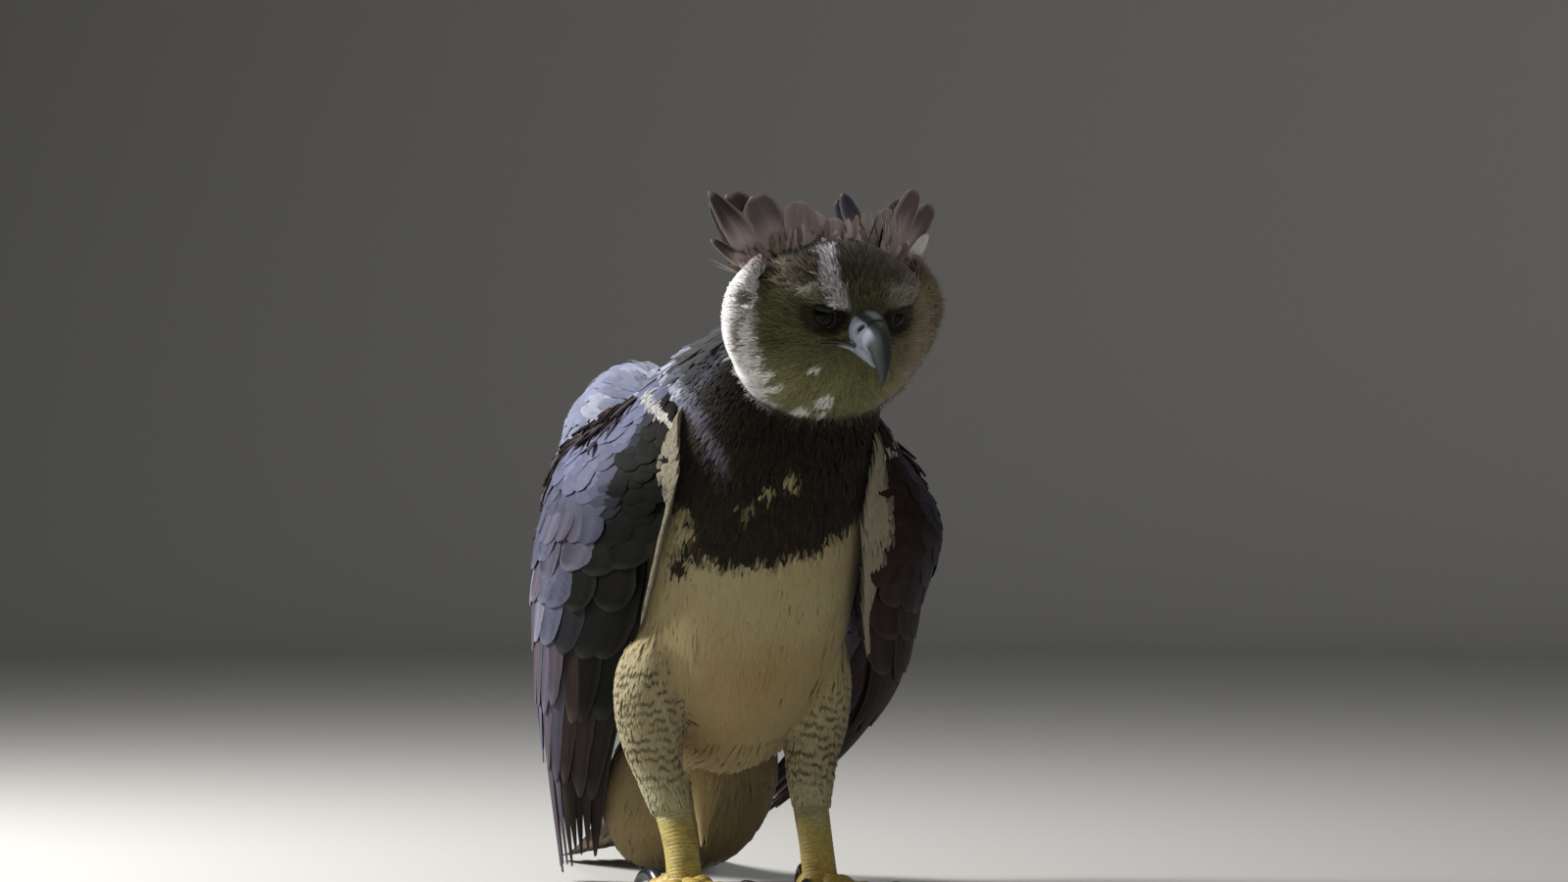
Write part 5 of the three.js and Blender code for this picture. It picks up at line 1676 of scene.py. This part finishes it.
def upper_colours(t, angle):
    """Dark ridge and tip, pale blue sides that are partly painted highlight, nostrils painted dark as
    shade in their openings and a darker cere above.
    """
    rise = np.sin(angle)
    # Partly painted highlight: the pale blue of the sides near the cere and of the lower edge.
    side = ease(0.7, 0.5, rise) * ease(0.5, 0.36, t)
    colour = mix(RIDGE_HORN * lerp(1.3, 0.5, ease(0.4, 0.8, t))[..., None], SIDE_HORN_AND_HIGHLIGHT, side)
    colour = mix(colour, EDGE_HORN_AND_HIGHLIGHT, ease(-0.35, -0.75, rise) * ease(0.66, 0.42, t) * 0.8)
    colour = colour * (1 - 0.35 * np.exp(-((t - CERE_END) / 0.012) ** 2))[..., None]
    # Painted shade: the nostrils' openings are painted near black.
    return mix(colour, RIDGE_HORN * 0.1, ease(0.3, 0.7, nostril(t, rise)))


def lower_bill(t, angle):
    """The lower bill: a shallow trough under the upper one."""
    return from_head(limb(LOWER_LINE, LOWER_SIZE, t, angle))


def lower_colours(t, angle):
    """Pale blue-white along the cutting edge, partly painted highlight, darker beneath and at the tip.
    """
    return mix(SIDE_HORN_AND_HIGHLIGHT * 0.6, EDGE_HORN_AND_HIGHLIGHT * 1.1, ease(-0.5, 0.3, np.sin(angle)) * ease(1, 0.7, t))


def gape(side, lift, radius):
    """A fold of skin along the gape, above or below the line where the bill opens."""
    line = [(side * x, y - 0.5, z + lift) for x, y, z in GAPE_LINE]
    sizes = [(radius, radius), (radius * 1.2, radius * 1.2), (radius, radius), (0.5, 0.5)]
    return lambda t, angle: from_head(limb(line, sizes, t, angle))


def tinted_material(name, roughness, scale, low, high, bump, stretch=(1.0, 1.0, 1.0), uv_name=None):
    """The mesh's colour under a noise of a given scale, on the object's own or UV coordinates."""
    material, tree, shader = new_material(name, roughness, 0.0, 0.5)
    if uv_name:
        place = node_of(tree, "UVMap", {}, uv_map=uv_name).outputs[0]
    else:
        place = node_of(tree, "TexCoord", {}).outputs["Object"]
    mapping = node_of(tree, "Mapping", {"Vector": place, "Scale": stretch})
    pattern = noise_of(tree, mapping.outputs[0], scale, 5.0)
    shaded(tree, shader, pattern, low, high, bump)
    return material


def tube_piece(name, surface, along, around, material, colours, replaces=()):
    """A closed tube as a piece, with colours and a UV map of t and angle."""
    points = tube_points(surface, along, around)
    quads, triangles = tube_faces(along, around)
    mesh = mesh_of(name, points, quads, triangles)
    t, angle = grid(along, around)
    tints = colours(t, angle) + np.zeros((along, around, 3))
    give_colour(mesh, np.vstack([tints.reshape(-1, 3), tints[0].mean(0), tints[-1].mean(0)]))
    uv = np.stack([np.abs(1 - angle / np.pi), t], -1).reshape(-1, 2)
    give_uv(mesh, "Tube", np.vstack([uv, [[0.5, 0], [0.5, 1]]]))
    return piece_of(mesh, material, replaces)


bill_horn = tinted_material("bill_horn", 0.5, 5.0, 0.8, 1.2, 0.0002, (2.0, 10.0, 1.0), "Tube")
gape_skin = tinted_material("gape_skin", 0.45, 900.0, 0.75, 1.25, 0.0003)
tube_piece("bill_upper_horn", upper_bill, 130, 96, bill_horn, upper_colours,
           ["bill_upper"])
tube_piece("bill_lower_horn", lower_bill, 50, 48, bill_horn, lower_colours,
           ["bill_lower"])
# Painted light: the upper fold is a dark painted shadow line in the gape; the lower fold carries a pale
# painted highlight near the bill, over dark skin further back.
GAPE_HIGHLIGHT = np.array([0.4, 0.43, 0.47])
GAPE_SKIN_AND_SHADOW = np.array([0.03, 0.028, 0.018])
for name, side in SIDES.items():
    for fold, lift, radius, highlight_share in (("upper", 1.4, 1.3, 0.1), ("lower", -1.0, 1.3, 1.0)):
        tube_piece(f"gape_{fold}_{name}", gape(side, lift, radius), 40, 16, gape_skin,
                   lambda t, angle: mix(GAPE_SKIN_AND_SHADOW, GAPE_HIGHLIGHT, highlight_share * ease(0.5, 0.05, t)))

# %% [markdown]
# The eye is a ball that bulges where the clear cornea sits over the iris. It is turned round the
# line that it looks along, so t runs from the middle of the pupil outwards and paints pupil, iris
# and dark rim. The lids are a broad rim of skin round the opening, which is cut straight above.

# %% Eyes
PUPIL_END, IRIS_END = 0.13, 0.27
PUPIL = np.array([0.002, 0.002, 0.002])
IRIS = np.array([0.012, 0.007, 0.005])
LID_SKIN = np.array([0.009, 0.008, 0.006])
LID_INNER, LID_OUTER = 0.84, 1.32
LID_CUT = 4.6
LID_AROUND, LID_THICK = 72, 24


def eye_axes(side):
    """The way that the eye looks, and the two directions across it."""
    gaze = GAZE[side]
    right = unit(np.cross(gaze, (0, 0, 1)))
    return gaze, right, np.cross(right, gaze)


def around_eye(side, polar, turn, radius):
    """Points at a radius from the eye's middle, at an angle off the gaze and a turn round it."""
    gaze, right, up = eye_axes(side)
    ring = right * np.cos(turn)[..., None] + up * np.sin(turn)[..., None]
    out = gaze * np.cos(polar)[..., None] + ring * np.sin(polar)[..., None]
    return from_head(eye_middle(side) + out * radius[..., None])


def eyeball(side):
    """A ball round the gaze: t runs from the pupil to the back."""

    def surface(t, angle):
        """The angle off the gaze grows with t, and the cornea bulges near the gaze."""
        polar = np.pi * (0.004 + 0.992 * t)
        radius = EYE_RADIUS - 0.5 + 0.5 * np.exp(-((polar / 0.5) ** 4))
        return around_eye(side, polar, angle, radius)

    return surface


def eye_colours(t, angle):
    """A black pupil in a very dark brown iris with fine rays and a black rim."""
    rays = 1 + 0.35 * ripple(angle * 31) * ease(PUPIL_END, IRIS_END, t)
    iris = ease(PUPIL_END - 0.01, PUPIL_END + 0.015, t) * ease(IRIS_END, IRIS_END - 0.03, t)
    return mix(PUPIL, IRIS, iris) * rays[..., None]


def lid(side):
    """A rim of skin round the opening of the eye, with the opening cut low above."""

    def surface(t, angle):
        """t runs round the opening and angle round the thickness of the rim."""
        turn = 2 * np.pi * t
        high = np.sin(turn)
        cut = np.arcsin(np.clip(LID_CUT / EYE_RADIUS / np.maximum(high, 0.3), 0, 1))
        edge = np.where(high > 0, np.minimum(LID_INNER, cut), LID_INNER)
        edge = lerp(edge, LID_INNER, ease(0.75, 0.45, high))
        middle, span = (edge + LID_OUTER) / 2, (LID_OUTER - edge) / 2
        folds = 0.3 * np.sin(9 * np.pi * (1 + np.cos(angle))) * ease(0.9, 0.2, np.cos(angle))
        radius = EYE_RADIUS + 0.3 + (0.6 + 0.8 * ease(0, 1, high)) * np.sin(angle) + folds * 0.6
        return around_eye(side, middle + span * np.cos(angle), turn, radius)

    return surface


def ring_faces(along, around):
    """Quads of a tube whose last ring joins its first."""
    ring, row = np.arange(around), np.arange(along)[:, None]
    after, below = (ring + 1) % around, (row + 1) % along
    return np.stack([row * around + ring, row * around + after, below * around + after,
                     below * around + ring], -1).reshape(-1, 4)


eye_look = tinted_material("eye", 0.07, 600.0, 0.7, 1.3, 0.0)
eye_look.node_tree.nodes["Principled BSDF"].inputs["Specular IOR Level"].default_value = 0.12
lid_skin = tinted_material("lid_skin", 0.6, 700.0, 0.6, 1.4, 0.0004)
for name in SIDES:
    tube_piece(f"eyeball_{name}", eyeball(name), 40, 48, eye_look, eye_colours,
               [f"eye_{name}"])
    t, angle = np.meshgrid(
        np.linspace(0, 1, LID_AROUND, False), np.linspace(0, 2 * np.pi, LID_THICK, False),
        indexing="ij",
    )
    rim_points = lid(name)(t, angle).reshape(-1, 3)
    rim = mesh_of(f"lid_{name}", rim_points, ring_faces(LID_AROUND, LID_THICK))
    give_colour(rim, LID_SKIN)
    piece_of(rim, lid_skin)

# %% [markdown]
# The feet are the harpy's weapons: thick toes with broad scutes on top and rough pads beneath,
# and long black claws. Scutes are rows of low steps along a toe, so they are part of the formula
# of its surface and not only painted on. The skin is greenish at the heel and yellow below.

# %% Legs and feet
FOOT_HUB = (-14.0, 19.0)
SHANK_LINE = [(14, 112), (5, 84), (-6, 50), FOOT_HUB]
SHANK_X = {"left": [65, 64, 65, 66], "right": [69, 62, 57, 56]}
TARSUS_SIZE = [(13, 14), (14.5, 15), (14, 14.5), (14.5, 15)]
TOE_RADIUS = 10.0
TOES = {
    # turn in degrees outward from straight ahead, length, claw length, thickness
    "inner": (-30, 56, 62, 1.1), "middle": (4, 82, 54, 1.0), "outer": (42, 64, 44, 0.92),
    "hind": (172, 48, 70, 1.2),
}
HEEL_SKIN = np.array([0.34, 0.34, 0.2])
SHANK_SKIN = np.array([0.4, 0.32, 0.09])
TOE_SKIN = np.array([0.46, 0.33, 0.075])
SEAM_SKIN = np.array([0.13, 0.095, 0.035])
WORN_CLAW = np.array([0.05, 0.045, 0.04])
CLAW = np.array([0.011, 0.011, 0.013])


def scutes(t, rows):
    """Rows of broad scales: 1 on a scale and 0 in the seam before the next."""
    return 1 - (np.abs(np.mod(t * rows, 1) - 0.5) * 2) ** 6


def scales(t, angle, rows, columns):
    """Small round scales in staggered rows, between 0 and 1."""
    shift = np.pi * (np.floor(t * rows) % 2)
    return np.abs(np.sin(t * rows * np.pi)) * (0.5 + 0.5 * np.cos(angle * columns + shift))


def tarsus(name):
    """The bare leg: a tube with fine rings of scutes in front and small scales behind."""
    path = leg_path(name, SHANK_X[name], SHANK_LINE)

    def surface(t, angle):
        """A tube grown by a knob at the heel, scutes in front and scales behind."""
        front = ease(-0.2, 0.5, np.sin(angle))
        knob = 1.2 * np.exp(-((t - 0.22) / 0.12) ** 2)
        grow = knob + 0.6 * scutes(t, 30) * front + 0.5 * scales(t, angle, 44, 14) * (1 - front)
        return limb(path, TARSUS_SIZE, t, angle, grow=grow[..., None])

    return surface


def toe(name, turn, length, thick):
    """A toe's surface, the way it points, and the place and direction of its end."""
    side = SIDES[name]
    turn = math.radians(turn)
    way = np.array([side * math.sin(turn), -math.cos(turn), 0])
    radius = TOE_RADIUS * thick
    start = np.array([side * SHANK_X[name][-1], *FOOT_HUB])
    end = start + way * length
    end[2] = radius * 0.85
    middle = (start + end) / 2
    middle[2] = radius + 2
    path = [start, middle, end]
    across = np.cross(way, (0, 0, 1))

    def surface(t, angle):
        """A round tube with swollen joints, scutes above and pads beneath, cut off at the floor."""
        size = radius * lerp(1.12, 0.84, t) * (1 + 0.13 * np.cos(6 * np.pi * t))
        wide, deep = across_path(path, t, across)
        high = deep[..., 2] * np.sin(angle)
        step = 0.7 * scutes(t, length / 5) * ease(0.1, 0.6, high)
        pads = 0.6 * scales(t, angle, length / 2.4, 15) * ease(0.3, -0.3, high)
        out = wide * np.cos(angle)[..., None] + deep * np.sin(angle)[..., None]
        points = spline(path, t) + out * (size + step + pads - 0.5)[..., None]
        points[..., 2] = np.maximum(points[..., 2], 0)
        return points

    normal = unit(spline(path, 1.0) - spline(path, 0.98))
    return surface, way, np.asarray(spline(path, 1.0)), normal


def claw_surface(way, end, normal, length, thick):
    """A claw: a tapering arc from the toe's end up, over and down to the floor."""
    start = end - normal * 3
    drop = start[2] - 1.5
    steps = [(0, 0), (0.28, 0.2), (0.6, 0.16), (0.82, -0.02), (0.9, -0.2)]
    arc = []
    for along, up in steps:
        height = up * length * 0.8 if up > 0 else up / 0.2 * drop
        arc.append(start + way * along * length * 0.85 + (0, 0, height))
    sizes = [(5.6 * thick, 7.4 * thick), (0.6 * thick, 0.7 * thick)]
    return lambda t, angle: limb(arc, sizes, t, angle, across=np.cross(way, (0, 0, 1)))


def ball(name):
    """The ball of the foot, where the toes meet."""
    centre = np.array([SIDES[name] * SHANK_X[name][-1], FOOT_HUB[0], 15.0])

    def surface(t, angle):
        """An egg with a fine grain, cut off at the floor."""
        polar = np.pi * (0.01 + 0.98 * t)
        ring = np.stack([np.cos(angle), np.sin(angle), 0 * angle], -1) * np.sin(polar)[..., None]
        out = ring + np.array([0, 0, 1]) * np.cos(polar)[..., None]
        grain = 1 + 0.03 * scales(t, angle, 20, 16)
        points = centre + out * (17.5, 18.5, 16.5) * grain[..., None]
        points[..., 2] = np.maximum(points[..., 2], 0)
        return points

    return surface


def leg_colours(points):
    """Greenish at the heel, ochre below and yellow on the toes."""
    z = points[:, 2] + 8 * cloud(points, 22)
    colour = mix(mix(TOE_SKIN, SHANK_SKIN, ease(22, 44, z)), HEEL_SKIN, ease(62, 92, z))
    return mix(colour, SEAM_SKIN, ease(0.3, 1, cloud(points, 9)) * 0.35)


def claw_colours(t, angle):
    """Black horn, a little worn and grey at its base."""
    return mix(WORN_CLAW, CLAW, ease(0, 0.3, t) + 0 * angle)


leg_skin = tinted_material("leg_skin", 0.5, 420.0, 0.72, 1.25, 0.0005)
claw_horn = tinted_material("claw_horn", 0.24, 4.0, 0.8, 1.2, 0.0002, (2.0, 8.0, 1.0), "Tube")
for name in SIDES:
    toes = {key: toe(name, turn, length, thick) for key, (turn, length, _, thick) in TOES.items()}
    surfaces = [(tarsus(name), 130, 48), (ball(name), 32, 40)]
    surfaces += [(toes[key][0], 76, 36) for key in TOES]
    points, quads, triangles = gathered(surfaces)
    leg_mesh = mesh_of(f"leg_{name}", points, quads, triangles, turn=False)
    give_colour(leg_mesh, leg_colours(points))
    piece_of(leg_mesh, leg_skin, [f"tarsus_{name}", f"foot_{name}"])
    for key, (_, _, claw, thick) in TOES.items():
        _, way, end, normal = toes[key]
        tube_piece(f"claw_{key}_{name}_horn", claw_surface(way, end, normal, claw, thick), 36, 24,
                   claw_horn, claw_colours, [f"claw_{key}_{name}"])

# %% [markdown]
# The bird stands in the middle of a plain pale floor that turns up into a wall all round, farther
# out than any camera, so that it has the same backdrop from every side. A large soft light from
# the upper left and a little behind brings out the white cheek and the sheen of the wing, and
# weaker ones from the front and above keep the shaded side readable. The wall gets little of this
# light, so it looks darker than the floor.

# %% Stage and light
FLOOR_TONE = (0.52, 0.51, 0.49, 1)
FLOOR_REACH = 5500.0
WALL_BEND = 1200.0
WALL_HEIGHT = 3200.0
INNER_RING = 900.0
STAGE_SIDES = 120
AIM = np.array([0, 0, 0.36])


def stage_sheet():
    """A round floor, a quarter circle and a wall, turned round the upright line."""
    bend = np.linspace(0, np.pi / 2, 20)
    far = FLOOR_REACH + WALL_BEND
    reach = np.concatenate([[INNER_RING], FLOOR_REACH + WALL_BEND * np.sin(bend), [far]])[:, None]
    height = np.concatenate([[0.0], WALL_BEND * (1 - np.cos(bend)), [WALL_HEIGHT]])[:, None]
    turn = np.linspace(0, 2 * np.pi, STAGE_SIDES, endpoint=False)[None]
    rings = np.stack([reach * np.cos(turn), reach * np.sin(turn), height + 0 * turn], -1)
    points = np.vstack([rings.reshape(-1, 3), [[0, 0, 0]]])
    quads, _ = tube_faces(len(reach), STAGE_SIDES)
    ring = np.arange(STAGE_SIDES)
    middle = np.stack([0 * ring + len(points) - 1, ring, (ring + 1) % STAGE_SIDES], -1)
    return mesh_of("floor", points, quads[:, ::-1], middle, turn=False)


floor_mesh = stage_sheet()
floor_look, _, floor_shader = new_material("floor", 0.9, 0.0, 0.2)
floor_shader.inputs["Base Color"].default_value = FLOOR_TONE
floor_mesh.materials.append(floor_look)
floor_piece = placed("floor", floor_mesh)


def area_light(name, right, away, up, size, power, colour, glossy=True):
    """A square soft light, placed in metres as the camera sees it, that looks at the bird."""
    data = bpy.data.lights.new(name, "AREA")
    data.shape = "SQUARE"
    data.size = size
    data.energy = power
    data.color = colour
    light = placed(name, data)
    place = right * VIEW_RIGHT + away * VIEW_AWAY + (0, 0, up)
    light.location = place
    x, y, z = AIM - place
    light.rotation_euler = (math.pi / 2 + math.atan2(z, math.hypot(x, y)), 0, math.atan2(-x, y))
    light.visible_glossy = glossy


area_light("key", -2.0, 0.1, 1.6, 0.7, 118, (1.0, 0.99, 0.97))
area_light("fill", 0.7, -2.6, 1.2, 2.2, 8, (1.0, 0.95, 0.8), glossy=False)
area_light("top", 0.3, 0.8, 2.3, 1.0, 10, (0.95, 0.97, 1.0))
world = bpy.data.worlds.new("studio")
world.use_nodes = True
world.node_tree.nodes["Background"].inputs["Color"].default_value = (0.85, 0.88, 0.92, 1)
world.node_tree.nodes["Background"].inputs["Strength"].default_value = 0.1
bpy.context.scene.world = world
bpy.context.scene.view_settings.view_transform = "Standard"
